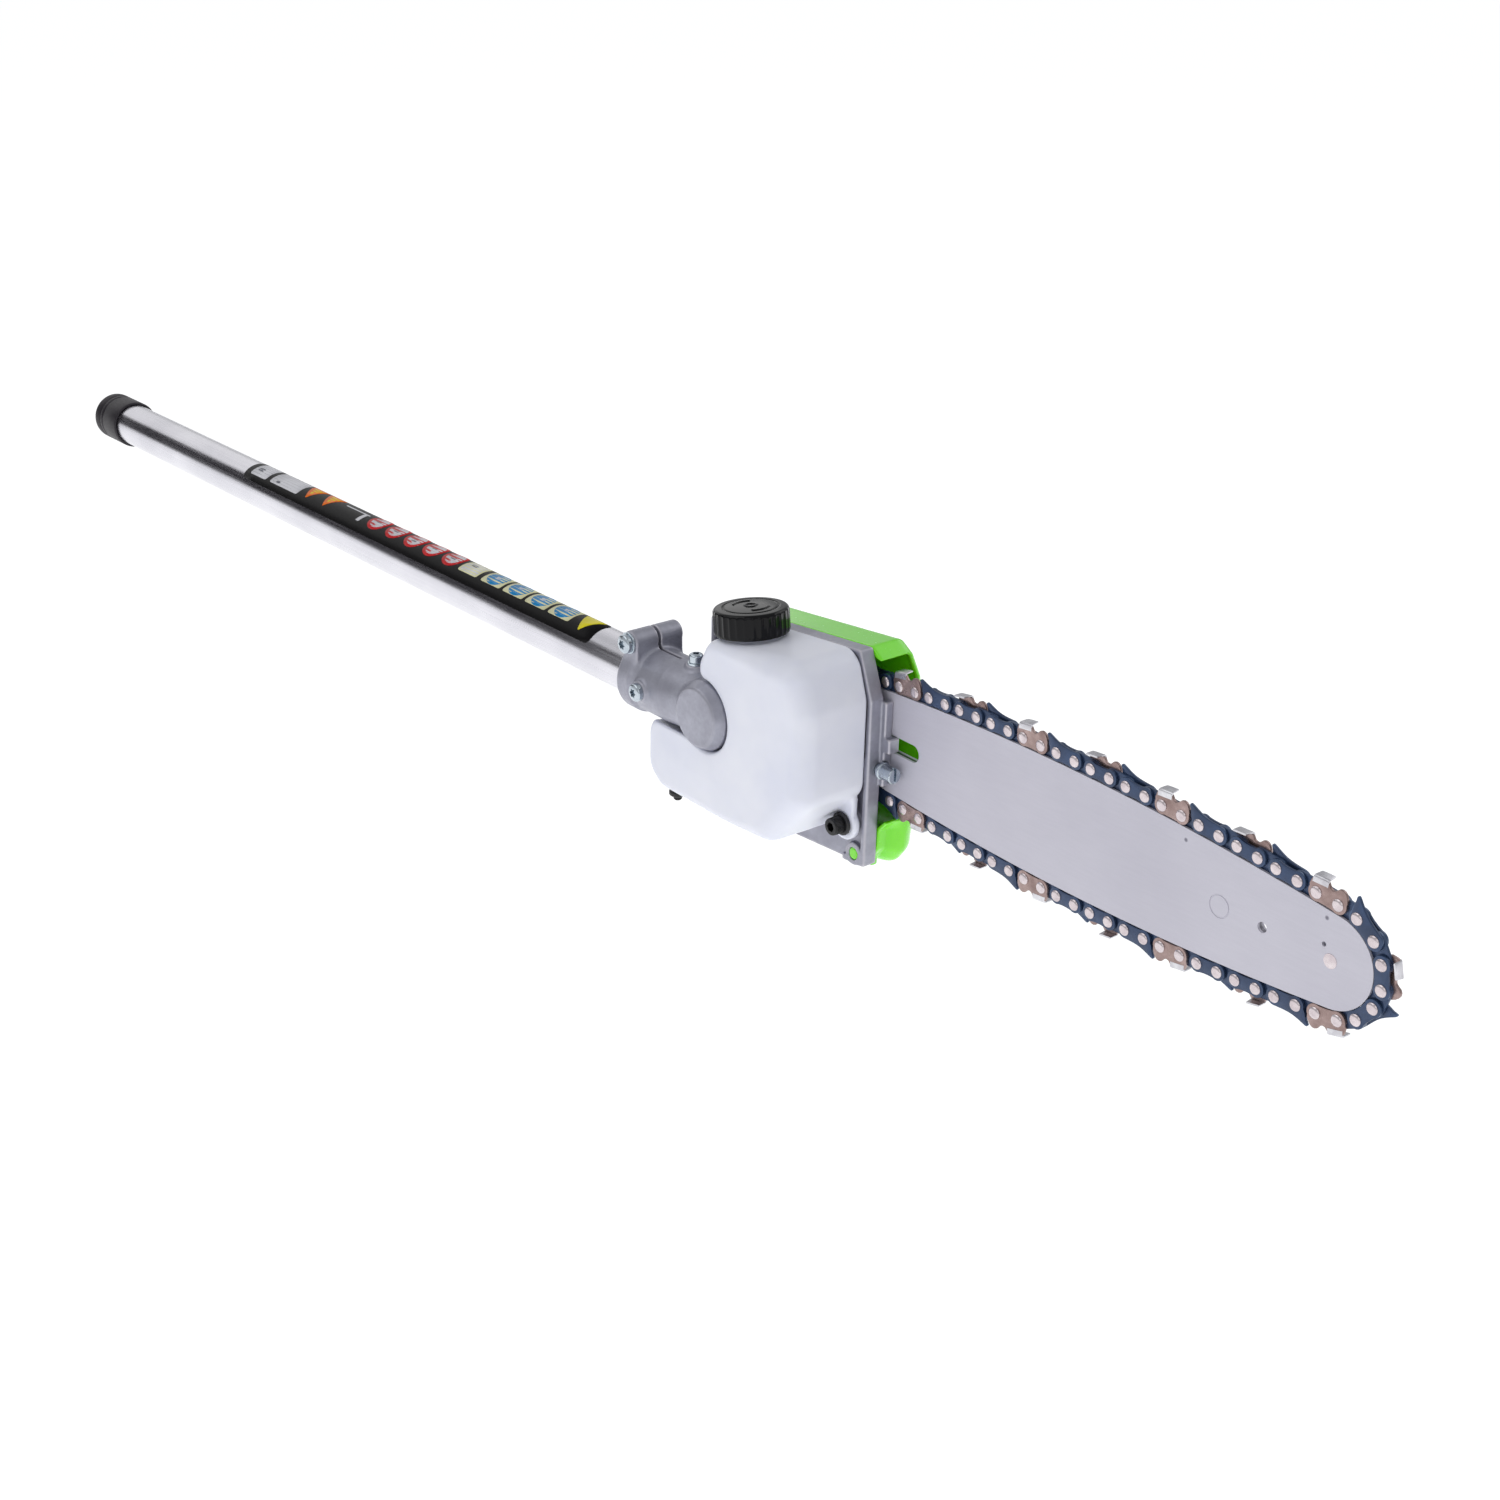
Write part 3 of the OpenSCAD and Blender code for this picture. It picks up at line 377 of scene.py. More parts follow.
def prism(outline, low, high, edge=0.15, steps=2):
    """An outline in X and Z, made solid from low to high along Y, with its edges bevelled."""
    bm = bmesh.new()
    ring = [bm.verts.new((x, low, z)) for x, z in outline]
    face = bm.faces.new(ring)
    made = bmesh.ops.extrude_face_region(bm, geom=[face])
    moved = [g for g in made["geom"] if isinstance(g, bmesh.types.BMVert)]
    bmesh.ops.translate(bm, verts=moved, vec=(0, high - low, 0))
    bmesh.ops.recalc_face_normals(bm, faces=bm.faces)
    if edge:
        rims = [e for e in bm.edges if abs(e.verts[0].co.y - e.verts[1].co.y) < 1e-6]
        bmesh.ops.bevel(bm, geom=rims, offset=edge, segments=steps, affect="EDGES", profile=0.5)
    bm.verts.index_update()
    verts = np.array([v.co[:] for v in bm.verts])
    faces = [tuple(v.index for v in f.verts) for f in bm.faces]
    bm.free()
    return verts, faces


# ---------------------------------------------------------------- shapes from distance fields

def polygon_field(points, x, z):
    """Signed distance to a polygon."""
    best = np.full(x.shape, 1e9, np.float32)
    inside = np.zeros(x.shape, bool)
    for i in range(len(points)):
        (ax, az), (bx, bz) = points[i - 1], points[i]
        ex, ez = bx - ax, bz - az
        t = np.clip(((x - ax) * ex + (z - az) * ez) / (ex * ex + ez * ez), 0, 1)
        best = np.minimum(best, (x - ax - t * ex) ** 2 + (z - az - t * ez) ** 2)
        crosses = (az > z) != (bz > z)
        with np.errstate(divide="ignore", invalid="ignore"):
            at = ax + (z - az) * ex / (ez if ez else 1e-9)
        inside ^= crosses & (x < at)
    return np.where(inside, -1, 1) * np.sqrt(best)


def inset(points, amount):
    """The polygon with every side moved in by amount."""
    pts = [np.array(p, float) for p in points]
    area = sum(pts[i - 1][0] * pts[i][1] - pts[i][0] * pts[i - 1][1] for i in range(len(pts)))
    turn = 1 if area > 0 else -1
    lines = []
    for i in range(len(pts)):
        side = pts[i] - pts[i - 1]
        inward = turn * np.array([-side[1], side[0]]) / np.linalg.norm(side)
        lines.append((pts[i - 1] + inward * amount, side))
    out = []
    for i in range(len(pts)):
        (p, d), (q, e) = lines[i], lines[(i + 1) % len(pts)]
        t = ((q - p)[0] * e[1] - (q - p)[1] * e[0]) / (d[0] * e[1] - d[1] * e[0])
        out.append(tuple(p + t * d))
    return out


def drum(across, along, low, high, edge=0.4, far_edge=None):
    """A field across an axis made solid between two stations, with rounded rims."""
    middle, half = (low + high) / 2, (high - low) / 2
    rim = edge if far_edge is None else np.where(along < middle, edge, far_edge)
    a = across + rim
    b = np.abs(along - middle) - half + rim
    return np.minimum(np.maximum(a, b), 0) + np.hypot(np.maximum(a, 0), np.maximum(b, 0)) - rim


def join(a, b, fillet=0.0):
    if not fillet:
        return np.minimum(a, b)
    h = np.clip(0.5 + 0.5 * (b - a) / fillet, 0, 1)
    return b * (1 - h) + a * h - fillet * h * (1 - h)


def cut(a, b, fillet=0.0):
    return -join(-a, b, fillet)


def rod_x(p, y, z, r, low, high, edge=0.4):
    return drum(np.hypot(p[1] - y, p[2] - z) - r, p[0], low, high, edge)


def rod_y(p, x, z, r, low, high, edge=0.4):
    return drum(np.hypot(p[0] - x, p[2] - z) - r, p[1], low, high, edge)


def rod_z(p, x, y, r, low, high, edge=0.4):
    return drum(np.hypot(p[0] - x, p[1] - y) - r, p[2], low, high, edge)


def drilled(body, rod, p, holes):
    """The body with plain round holes, each two centre coordinates, a radius and two ends."""
    for hole in holes:
        body = cut(body, rod(p, *hole, 0.1))
    return body


def block(p, low, high, edge=0.3):
    q = []
    for i in range(3):
        q.append(np.abs(p[i] - (low[i] + high[i]) / 2) - (high[i] - low[i]) / 2 + edge)
    outside = np.sqrt(sum(np.maximum(v, 0) ** 2 for v in q))
    return outside + np.minimum(np.maximum(np.maximum(q[0], q[1]), q[2]), 0) - edge


def polygonise(field, low, high, step):
    """Surface nets over a field, with the points then moved onto the surface."""
    axes = [np.arange(low[i] - 1.5 * step, high[i] + 1.5 * step, step, np.float32) for i in range(3)]
    nx, ny, nz = map(len, axes)
    values = np.empty((nx, ny, nz), np.float32)
    yy, zz = np.meshgrid(axes[1], axes[2], indexing="ij")
    for start in range(0, nx, 24):
        xs = axes[0][start:start + 24]
        shape = (len(xs), ny, nz)
        values[start:start + 24] = field((
            np.broadcast_to(xs[:, None, None], shape),
            np.broadcast_to(yy, shape), np.broadcast_to(zz, shape)))
    solid = values < 0
    cells = (nx - 1, ny - 1, nz - 1)
    total = np.zeros(cells + (3,), np.float32)
    hits = np.zeros(cells, np.float32)
    corners = [(i, j, k) for i in (0, 1) for j in (0, 1) for k in (0, 1)]

    def corner(array, c):
        return array[c[0]:c[0] + nx - 1, c[1]:c[1] + ny - 1, c[2]:c[2] + nz - 1]

    for a in corners:
        for d in range(3):
            if a[d]:
                continue
            b = tuple(a[i] + (i == d) for i in range(3))
            crossing = corner(solid, a) != corner(solid, b)
            va, vb = corner(values, a)[crossing], corner(values, b)[crossing]
            t = va / (va - vb)
            for i in range(3):
                total[..., i][crossing] += a[i] + (t if i == d else 0)
            hits[crossing] += 1
    used = hits > 0
    number = np.full(cells, -1, np.int64)
    number[used] = np.arange(used.sum())
    where = np.argwhere(used)
    origin = np.array([axes[i][0] for i in range(3)])
    verts = (where + total[used] / hits[used][:, None]) * step + origin
    quads = []
    for d in range(3):
        e, f = (d + 1) % 3, (d + 2) % 3
        first = [slice(None)] * 3
        second = [slice(None)] * 3
        first[d], second[d] = slice(0, -1), slice(1, None)
        s0, s1 = solid[tuple(first)], solid[tuple(second)]
        for inside in (True, False):
            at = np.argwhere((s0 == inside) & (s1 != inside))
            at = at[(at[:, e] > 0) & (at[:, f] > 0)]
            ring = []
            for de, df in ((-1, -1), (0, -1), (0, 0), (-1, 0)):
                cell = at.copy()
                cell[:, e] += de
                cell[:, f] += df
                ring.append(number[cell[:, 0], cell[:, 1], cell[:, 2]])
            quad = np.stack(ring, 1)
            quads.append(quad if inside else quad[:, ::-1])
    faces = np.concatenate(quads)
    verts = relax(verts, faces)
    for _ in range(3):
        verts = settle(field, verts, step)
    return verts, faces


def relax(verts, faces):
    """Moves every point part of the way to its neighbours' middle."""
    total = np.zeros_like(verts)
    hits = np.zeros(len(verts))
    for a, b in ((0, 1), (1, 2), (2, 3), (3, 0)):
        for one, other in ((a, b), (b, a)):
            np.add.at(total, faces[:, one], verts[faces[:, other]])
            np.add.at(hits, faces[:, one], 1)
    return verts * 0.4 + 0.6 * total / hits[:, None]


def settle(field, verts, step):
    """One Newton step that moves points onto the field's zero."""
    small = step * 0.2
    here = field(tuple(verts.T))
    slope = np.empty_like(verts)
    for i in range(3):
        shift = np.zeros(3)
        shift[i] = small
        slope[:, i] = (field(tuple((verts + shift).T)) - field(tuple((verts - shift).T))) / (2 * small)
    size = np.maximum((slope ** 2).sum(1), 0.25)
    move = np.clip(here / size, -0.5 * step, 0.5 * step)
    return verts - slope * move[:, None]


# ---------------------------------------------------------------- pole

def make_tube():
    """The bright drawn tube with small chamfers at both ends, open all through."""
    chamfer = 0.4
    bore = 11.5
    stations = list(np.linspace(chamfer, TUBE_END - chamfer, 25))
    profile = [(0, bore + chamfer), (0, TUBE_R - chamfer)]
    profile += [(x, TUBE_R) for x in stations]
    profile += [(TUBE_END, TUBE_R - chamfer), (TUBE_END, bore + chamfer)]
    profile += [(x, bore) for x in reversed(stations)]
    verts, faces = lathe(profile, turns=128)
    return add_piece("tube_shell", verts, faces, ["tube_aluminium"], "root",
                     ["tube"], POLE, sharp=32)


def make_end_cap():
    """The rubber transport cap: a cup with a soft shoulder, a rolled lip and two grip rings."""
    low, high = (v.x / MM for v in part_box("tube_end_cap"))
    outer = 14.7
    inner = TUBE_R + 0.06
    soft = 2.6
    profile = [(low, 0.01)]
    for k in range(7):
        a = math.radians(90 * k / 6)
        profile.append((low + soft - soft * math.cos(a), outer - soft + soft * math.sin(a)))
    for ring in (low + 9, low + 13):
        profile += [(ring - 0.8, outer), (ring - 0.3, outer - 0.35), (ring + 0.3, outer - 0.35),
                    (ring + 0.8, outer)]
    for k in range(5):
        a = math.radians(90 * k / 4)
        profile.append((high - 0.7 + 0.7 * math.sin(a), outer - 0.7 + 0.7 * math.cos(a)))
    profile += [(high, inner + 0.5), (high - 0.5, inner), (0.02, inner), (0.01, 0.01)]
    verts, faces = lathe(profile, turns=112)
    return add_piece("transport_cap", verts, faces, ["cap_rubber"], "end_cap",
                     ["tube_end_cap"], POLE, sharp=50)


# Spacing of the label sheets' cuts, round and along the tube
AROUND_STEP, ALONG_STEP = 2.0, 12.0


def wrapped(outline, radius):
    """An outline in (x, degrees towards the tank side) as a fine sheet wrapped on the tube."""
    bm = bmesh.new()
    loop = [bm.verts.new((x, math.radians(a) * TUBE_R, 0)) for x, a in outline]
    bm.faces.new(loop)
    xs = [p[0] for p in outline]
    ys = [math.radians(p[1]) * TUBE_R for p in outline]
    for low, high, normal in ((min(xs), max(xs), (1, 0, 0)), (min(ys), max(ys), (0, 1, 0))):
        spacing = AROUND_STEP if normal[1] else ALONG_STEP
        at = low + spacing
        while at < high:
            where = (at, 0, 0) if normal[0] else (0, at, 0)
            bmesh.ops.bisect_plane(bm, geom=bm.verts[:] + bm.edges[:] + bm.faces[:],
                                   plane_co=where, plane_no=normal, dist=1e-4)
            at += spacing
    bm.verts.index_update()
    flat = np.array([v.co[:] for v in bm.verts])
    faces = [tuple(v.index for v in f.verts) for f in bm.faces]
    bm.free()
    angle = flat[:, 1] / TUBE_R
    verts = np.stack([flat[:, 0], -radius * np.sin(angle), radius * np.cos(angle)], -1)
    return verts, [tuple(reversed(f)) for f in faces]


def disc(x, angle, r, squash=1.0, count=24):
    """A circle on the tube's skin."""
    out = []
    for k in range(count):
        a = 2 * math.pi * k / count
        out.append((x + r * math.cos(a), angle + math.degrees(r * squash * math.sin(a) / TUBE_R)))
    return out


def panel(x0, x1, a0, a1, corner=1.6):
    """A rounded rectangle on the tube's skin, from angle a0 to a1."""
    y0, y1 = math.radians(a0) * TUBE_R, math.radians(a1) * TUBE_R
    pts = rounded([(x0, y0), (x1, y0), (x1, y1), (x0, y1)], corner)
    return [(x, math.degrees(y / TUBE_R)) for x, y in pts]


def triangle(x, width, a_top, a_foot, corner=1.0):
    y0, y1 = math.radians(a_top) * TUBE_R, math.radians(a_foot) * TUBE_R
    pts = rounded([(x, y1), (x - width / 2, y0), (x + width / 2, y0)], corner)
    return [(px, math.degrees(py / TUBE_R)) for px, py in pts]


def make_label():
    """A black film with plain coloured patches in a row, none of which says anything."""
    low, high = (v.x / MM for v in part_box("label_strip"))
    top, foot = -23, 57
    skin = TUBE_R + 0.2
    ink = skin + 0.03
    parts = Parts()
    names = ["label_film"] + list(PRINTS)
    code = {n: i for i, n in enumerate(names)}
    layer = {"n": 0}

    def patch(kind, outline):
        layer["n"] += 1
        parts.add(*wrapped(outline, ink + 0.0015 * layer["n"]), code["print_" + kind])

    parts.add(*wrapped(panel(low, high, top, foot, 4.0), skin), 0)
    patch("white", panel(low + 5.5, low + 24.5, -20, 38))
    patch("white", panel(low + 29, low + 62, -20, 37))
    patch("grey", panel(low + 8.5, low + 14.5, 8, 20, 0.8))
    patch("grey", panel(low + 35, low + 39, 24, 31, 0.6))
    for x in (low + 72, low + 92):
        patch("orange", triangle(x, 19, -20, 36))
        patch("yellow", triangle(x, 11, -14, 20, 0.6))
    patch("white", panel(low + 107, low + 133, -4, 1, 0.8))
    patch("white", panel(low + 128, low + 131.5, -2, 30, 0.8))
    for i in range(5):
        x = low + 146 + 19.6 * i
        patch("red", disc(x, 3, 8.6, 0.84, 32))
        patch("white", disc(x, 3, 6.4, 0.84, 28))
        patch("grey", panel(x - 2.6, x + 2.0, 4, 8 + 3 * (i % 3), 0.5))
    patch("cream", panel(low + 235.5, low + 253.5, -21, 31))
    patch("white", panel(low + 237, low + 252, -18, 27))
    patch("grey", panel(low + 240, low + 245, -4, 4, 0.6))
    for i in range(4):
        x = low + 257.5 + 20.6 * i
        patch("cream", panel(x, x + 18.2, -21, 31))
        patch("blue", disc(x + 9.1, 4, 7.4, 0.8, 32))
        patch("white", panel(x + 6.8, x + 10.4, -2, 9 - 2 * (i % 2), 0.8))
    patch("yellow", triangle(low + 348, 17, -20, 40))
    piece = parts.make("label_print", names, "root", ["label_strip"], POLE)
    thick = piece.modifiers.new("film", "SOLIDIFY")
    thick.thickness = 0.02 * MM
    thick.offset = -1
    return piece


# ---------------------------------------------------------------- gear case and plate

LUG_X, LUG_Z = -52.8, 20.2
LOCATE_X = -41.5
GREASE_X = -19.5
BOSS_R, BOSS_Y, BOSS_TAPER = 16.5, -16.0, 5.0
SCREW_TURN, SCREW_CIRCLE = 15, 20.3
FINE_STEP = 0.2


def gear_case_field(p):
    x, y, z = p
    body = rod_x(p, 0, 0, 17.2, -59.5, -51, 1.2)
    neck = rod_x(p, 0, 0, 16.0, -53, -29, 0.5)
    slant = 16.0 - 1.5 * np.clip((x + 30) / 22, 0, 1)
    cone = drum(np.hypot(y, z) - slant, x, -31, -4, 0.5)
    body = join(body, join(neck, cone), 1.6)
    lug = rod_y(p, LUG_X, LUG_Z, 5.6, -14, 14, 1.6)
    web = block(p, (LUG_X - 5.4, -13.6, 6), (LUG_X + 5.4, 13.6, LUG_Z), 1.0)
    body = join(body, join(lug, web), 2.6)
    body = join(body, rod_y(p, LOCATE_X, 0, 5.2, -17.4, 0, 0.8), 2.0)
    body = join(body, rod_z(p, GREASE_X, 0, 4.8, 6, 16.6, 0.6), 2.4)
    boss_r = BOSS_R - 2.5 * np.clip((BOSS_Y + BOSS_TAPER - y) / BOSS_TAPER, 0, 1)
    boss = drum(np.hypot(x, z) - boss_r, y, BOSS_Y, 22.4, 1.1)
    body = join(body, boss, 2.0)
    body = join(body, rod_y(p, 0, 0, 24.0, 19.2, 23.2, 0.6), 1.6)
    body = drilled(body, rod_x, p, [(0, 0, 13.03, -62, -33.5), (0, 0, 11.0, -34.5, -5)])
    body = cut(body, block(p, (-62, -0.8, 0), (-30.5, 0.8, 40), 0.1))
    body = drilled(body, rod_y, p, [(LUG_X, LUG_Z, 2.55, -40, 40), (LOCATE_X, 0, 2.5, -40, 0),
                                    (0, 0, 9.5, -13, -8), (0, 0, 13.0, 15, 26)])
    body = cut(body, rod_z(p, GREASE_X, 0, 2.5, 2, 40, 0.1))
    body = cut(body, rod_y(p, 0, 0, 14.5, -10, 15.2, 0.3))
    for i in range(4):
        a = math.radians(SCREW_TURN + 90 * i)
        at = (SCREW_CIRCLE * math.cos(a), -SCREW_CIRCLE * math.sin(a))
        body = cut(body, rod_y(p, *at, 2.0, 10, 30, 0.1))
    return body


def make_gear_case():
    verts, faces = polygonise(gear_case_field, (-60, -18, -24.5), (24.5, 23.6, 27), 0.5)
    return add_piece("gear_housing", verts, faces, ["cast_alloy"], "root",
                     ["gear_case"], GEAR)


PLATE = [(-44, -57), (-35, -68.5), (64, -60.6), (71, -60), (71, 21.5), (62.5, 43.2), (-38, 32.3),
         (-44, 26)]
STUD_X = 46.0
EARS = [(60, -40.5), (-22, -54.2)]
PEG = (63.5, -55.8)
PEG_R = 2.9
TENSION_Y, TENSION_Z = 33.2, -12.0
PAD = [(26, -12), (40, -16.5), (73.8, -20.5), (73.8, 20.5), (40, 16.5), (26, 12)]
PUMP = (10.2, 30.5)


def plate_field(p):
    x, y, z = p
    soft = 1.6
    shape = polygon_field(inset(PLATE, soft), x, z) - soft
    inner = polygon_field(inset(PLATE, 3 + 2.0), x, z) - 2.0
    body = drum(shape, y, PLATE_NEAR, PLATE_FAR, 0.7)
    inner = np.minimum(inner, np.maximum(np.maximum(x - 56, -36 - x), z + 58))
    body = cut(body, drum(inner, y, PLATE_NEAR - 3, PLATE_WEB, 0.3), 0.8)
    body = join(body, rod_y(p, *PEG, 5.4, PLATE_NEAR, 30.5, 0.5), 1.0)
    body = join(body, rod_y(p, 0, 0, 24, 23.2, 30.5, 0.6), 1.2)
    for ear in EARS:
        body = join(body, rod_y(p, *ear, 6, PLATE_NEAR + 0.5, 30.5, 0.5), 1.0)
    boss = block(p, (34, PLATE_NEAR, TENSION_Z - 6), (70, PLATE_WEB + 1, TENSION_Z + 6), 0.8)
    body = join(body, boss, 0.8)
    pad = drum(polygon_field(inset(PAD, 0.8), x, z) - 0.8, y, PLATE_FAR - 1, 37.9, 0.5)
    body = join(body, pad, 0.8)
    tab = block(p, (56, PLATE_FAR - 1, -3.5), (77, 39.6, 3.5), 0.6)
    body = join(body, tab, 0.3)
    body = drilled(body, rod_y, p, [(0, 0, 10, 0, 26.8), (0, 0, 5.6, 0, 60), (0, 0, 7.6, 28.2, 60),
                                    (STUD_X, 0, 4.05, 0, 60)])
    body = cut(body, rod_z(p, *PUMP, 3.6, -20, 14, 0.1))
    for i in range(4):
        a = math.radians(SCREW_TURN + 90 * i) - DROOP
        at = (SCREW_CIRCLE * math.cos(a), -SCREW_CIRCLE * math.sin(a))
        body = drilled(body, rod_y, p, [(*at, 2.1, 0, 60), (*at, 3.7, 31, 60)])
    for ear in EARS:
        body = cut(body, rod_y(p, *ear, 2.1, 20, PLATE_FAR - 1.5, 0.1))
    body = cut(body, rod_y(p, *PEG, PEG_R + 0.1, 20, 60, 0.1), 0.2)
    channel = block(p, (36, TENSION_Y - 3.6, TENSION_Z - 3.3), (66, 60, TENSION_Z + 3.3), 0.2)
    body = cut(body, channel)
    return drilled(body, rod_x, p, [(TENSION_Y, TENSION_Z, 2.55, 60, 80),
                                    (TENSION_Y, TENSION_Z, 4.5, 72.9, 80)])


def make_plate():
    verts, faces = polygonise(plate_field, (-45, 23, -70), (78, 40, 44), 0.6)
    return add_piece("chain_case_plate", verts, faces, ["cast_alloy"], "root",
                     ["base_plate"])


# ---------------------------------------------------------------- oil tank and cap

TANK_NEAR, TANK_FAR = -11.5, 26.7
EAR_NEAR = 23.3
TANK_WALL = 2.0
CAP_SLOPE = math.atan2(-JOINTS["cap_lift"]["axis"][0], JOINTS["cap_lift"]["axis"][2]) + DROOP
FILLER = (10.4, 8.2, 39.2)
TANK_TOP = 37.6 + 59 * math.tan(math.radians(6))
TANK = [(-44, -19), (-35.5, -11.5), (-3, -11.5), (-6.5, 24), (0.5, 37.3), (62, TANK_TOP),
        (69.4, 22), (69.4, -21.5), (44.5, -49), (-34, -49.5), (-44, -41.5)]
OUTLET = (-27.0, -4.5)


def filler_coords(p):
    dx, dy, dz = p[0] - FILLER[0], p[1] - FILLER[1], p[2] - FILLER[2]
    c, s = math.cos(CAP_SLOPE), math.sin(CAP_SLOPE)
    return dx * c + dz * s, dy, -dx * s + dz * c


def tank_body(p, grow):
    """The tank's moulded form, shrunk by grow on every side."""
    x, y, z = p
    soft = 11.0
    shape = polygon_field(inset(TANK, soft), x, z) - soft + grow
    crown = 0.7 * np.clip(-(shape + grow) / 22, 0, 1)
    ramp = np.clip((x - 8) / 46, 0, 1)
    edge = 5.2 + 4.8 * ramp * ramp * (3 - 2 * ramp)
    body = drum(shape, y + crown, TANK_NEAR + 0.7 + grow, TANK_FAR - grow, edge - grow, 1.8)
    body = cut(body, rod_y(p, 0, 0, BOSS_R + 1.0 + grow, -60, 60, 0.2), 1.8)
    body = cut(body, rod_x(p, 0, 0, 18.4 + grow, -80, 0, 0.2), 1.8)
    body = cut(body, rod_y(p, 0, 0, 25 + grow, 18.2 - grow, 60, 0.2), 1.0)
    gap = block(p, (-80, -40, -2), (-1.5 + grow, 60, 18.5 + grow), 1.5)
    return cut(body, gap, 1.8)


def tank_field(p):
    x, y, z = p
    body = tank_body(p, 0.0)
    fx, fy, fz = filler_coords(p)
    reach = np.hypot(fx, fy)
    neck = drum(reach - 13.2, fz, -3, 9.0, 0.5)
    turn = np.arctan2(fy, fx) / (2 * math.pi)
    thread = np.abs(np.mod(fz - 1.2 - 4.0 * turn, 4.0) - 2.0) - 0.55
    ridge = np.maximum(np.maximum(reach - 14.0, thread), np.maximum(2.2 - fz, fz - 8.2))
    body = join(body, join(neck, ridge, 0.5), 1.6)
    for ear in EARS:
        away = np.hypot(x - ear[0], z - ear[1]) - 8
        bridge = block(p, (ear[0] - 8, EAR_NEAR, ear[1]), (ear[0] + 6, TANK_FAR, ear[1] + 14), 1)
        body = join(body, join(drum(away, y, EAR_NEAR, TANK_FAR, 0.9), bridge, 0.5), 2.6)
        body = cut(body, rod_y(p, *ear, 5.8, 13, EAR_NEAR, 0.4), 0.6)
    body = cut(body, tank_body(p, TANK_WALL))
    body = cut(body, drum(reach - 11.0, fz, -6, 12, 0.2), 0.4)
    for ear in EARS:
        body = cut(body, rod_y(p, *ear, 4.0, 15, 40, 0.1), 0.2)
    body = cut(body, rod_z(p, *OUTLET, 3.4, -54, -43, 0.1))
    return body


def make_tank():
    verts, faces = polygonise(tank_field, (-45, -12.5, -64), (70.5, 27.5, 52), 0.75)
    return add_piece("oil_tank_shell", verts, faces, ["tank_plastic"], "root",
                     ["oil_tank"])


def cap_field(p):
    """The screw cap in the filler's own frame."""
    x, y, z = p
    reach = np.hypot(x, y)
    turn = np.arctan2(y, x)
    rib = np.clip(0.5 + 0.5 * np.cos(30 * turn), 0, 1) ** 2
    fade = np.clip((12.2 - z) / 1.6, 0, 1) * np.clip((z - 1.2) / 0.8, 0, 1)
    radius = 17.1 + 0.32 * rib * fade
    top = 12.3 + 0.6 * (1 - (reach / 16.6) ** 2)
    body = drum(reach - radius, z * (12.3 / top), 0.7, 12.3, 0.35, 1.3)
    lip = drum(reach - 17.1, z, 0.7, 1.9, 0.3)
    body = join(body, lip, 0.3)
    tab_turn = np.arctan2(np.sin(turn - math.radians(205)), np.cos(turn - math.radians(205)))
    tab = np.maximum(np.maximum(reach - 17.55, np.abs(tab_turn) * 16 - 3.0), np.maximum(0.7 - z, z - 3.2))
    body = join(body, tab, 0.5)
    groove = np.abs(reach - 12.6) - 0.45
    body = cut(body, np.maximum(groove, top - 0.35 - z), 0.25)
    # Raised drop and arcs: a plain oil mark
    drop = np.hypot(x, np.where(y > 0, y * 0.62, y)) - 2.6 + 0.35 * np.clip(y, 0, 9)
    arcs = np.abs(reach - 8.4) - 0.55
    arcs = np.maximum(arcs, np.abs(y) - 4.8)
    mark = np.maximum(join(np.abs(drop) - 0.45, arcs), np.maximum(z - top - 0.45, 11.5 - z))
    body = join(body, mark, 0.3)
    body = cut(body, drum(reach - 14.6, z, -1, 10.45, 0.3))
    return body


def filler_place():
    c, s = math.cos(CAP_SLOPE), math.sin(CAP_SLOPE)
    local = np.array([[c, 0, -s, FILLER[0]], [0, 1, 0, FILLER[1]], [s, 0, c, FILLER[2]], [0, 0, 0, 1]])
    return HEAD @ local


def make_cap():
    verts, faces = polygonise(cap_field, (-18, -18, 0.4), (18, 18, 13.8), 0.33)
    return add_piece("oil_cap", verts, faces, ["cap_plastic"], "filler_cap",
                     ["filler_cap"], filler_place())


# ---------------------------------------------------------------- cover

COVER = [(-40, -57), (-32, -69.5), (60, -64.5), (70, -63.5), (76, -55), (77.5, -38), (79, -20),
         (79, 8), (74.5, 29), (68.5, 38.5), (61, 43), (-36, 32), (-40, 27)]


def cover_shell(p, grow, low):
    x, y, z = p
    soft, dome_soft = 3.5, 10.0
    low_front = np.clip((-26 - z) / 22, 0, 1) * np.clip((x - 20) / 30, 0, 1)
    dome = low_front * low_front * (3 - 2 * low_front)
    crisp = polygon_field(inset(COVER, soft), x, z) - soft
    round_ = polygon_field(inset(COVER, dome_soft), x, z) - dome_soft
    tuck = np.clip((47.5 - y) / 8, 0, 1) ** 2 * np.clip((x - 55) / 14, 0, 1)
    shape = crisp + (round_ - crisp) * dome + 5.0 * tuck * np.clip((-37 - z) / 6, 0, 1) + grow
    slim = np.clip(1 - np.abs(z + 4) / 26, 0, 1) * np.clip((x - 50) / 20, 0, 1)
    edge = 6.5 + 4.0 * dome - 3.5 * slim
    return drum(shape, y, low, COVER_FAR - grow, 0.3, np.maximum(edge - grow, 0.5))


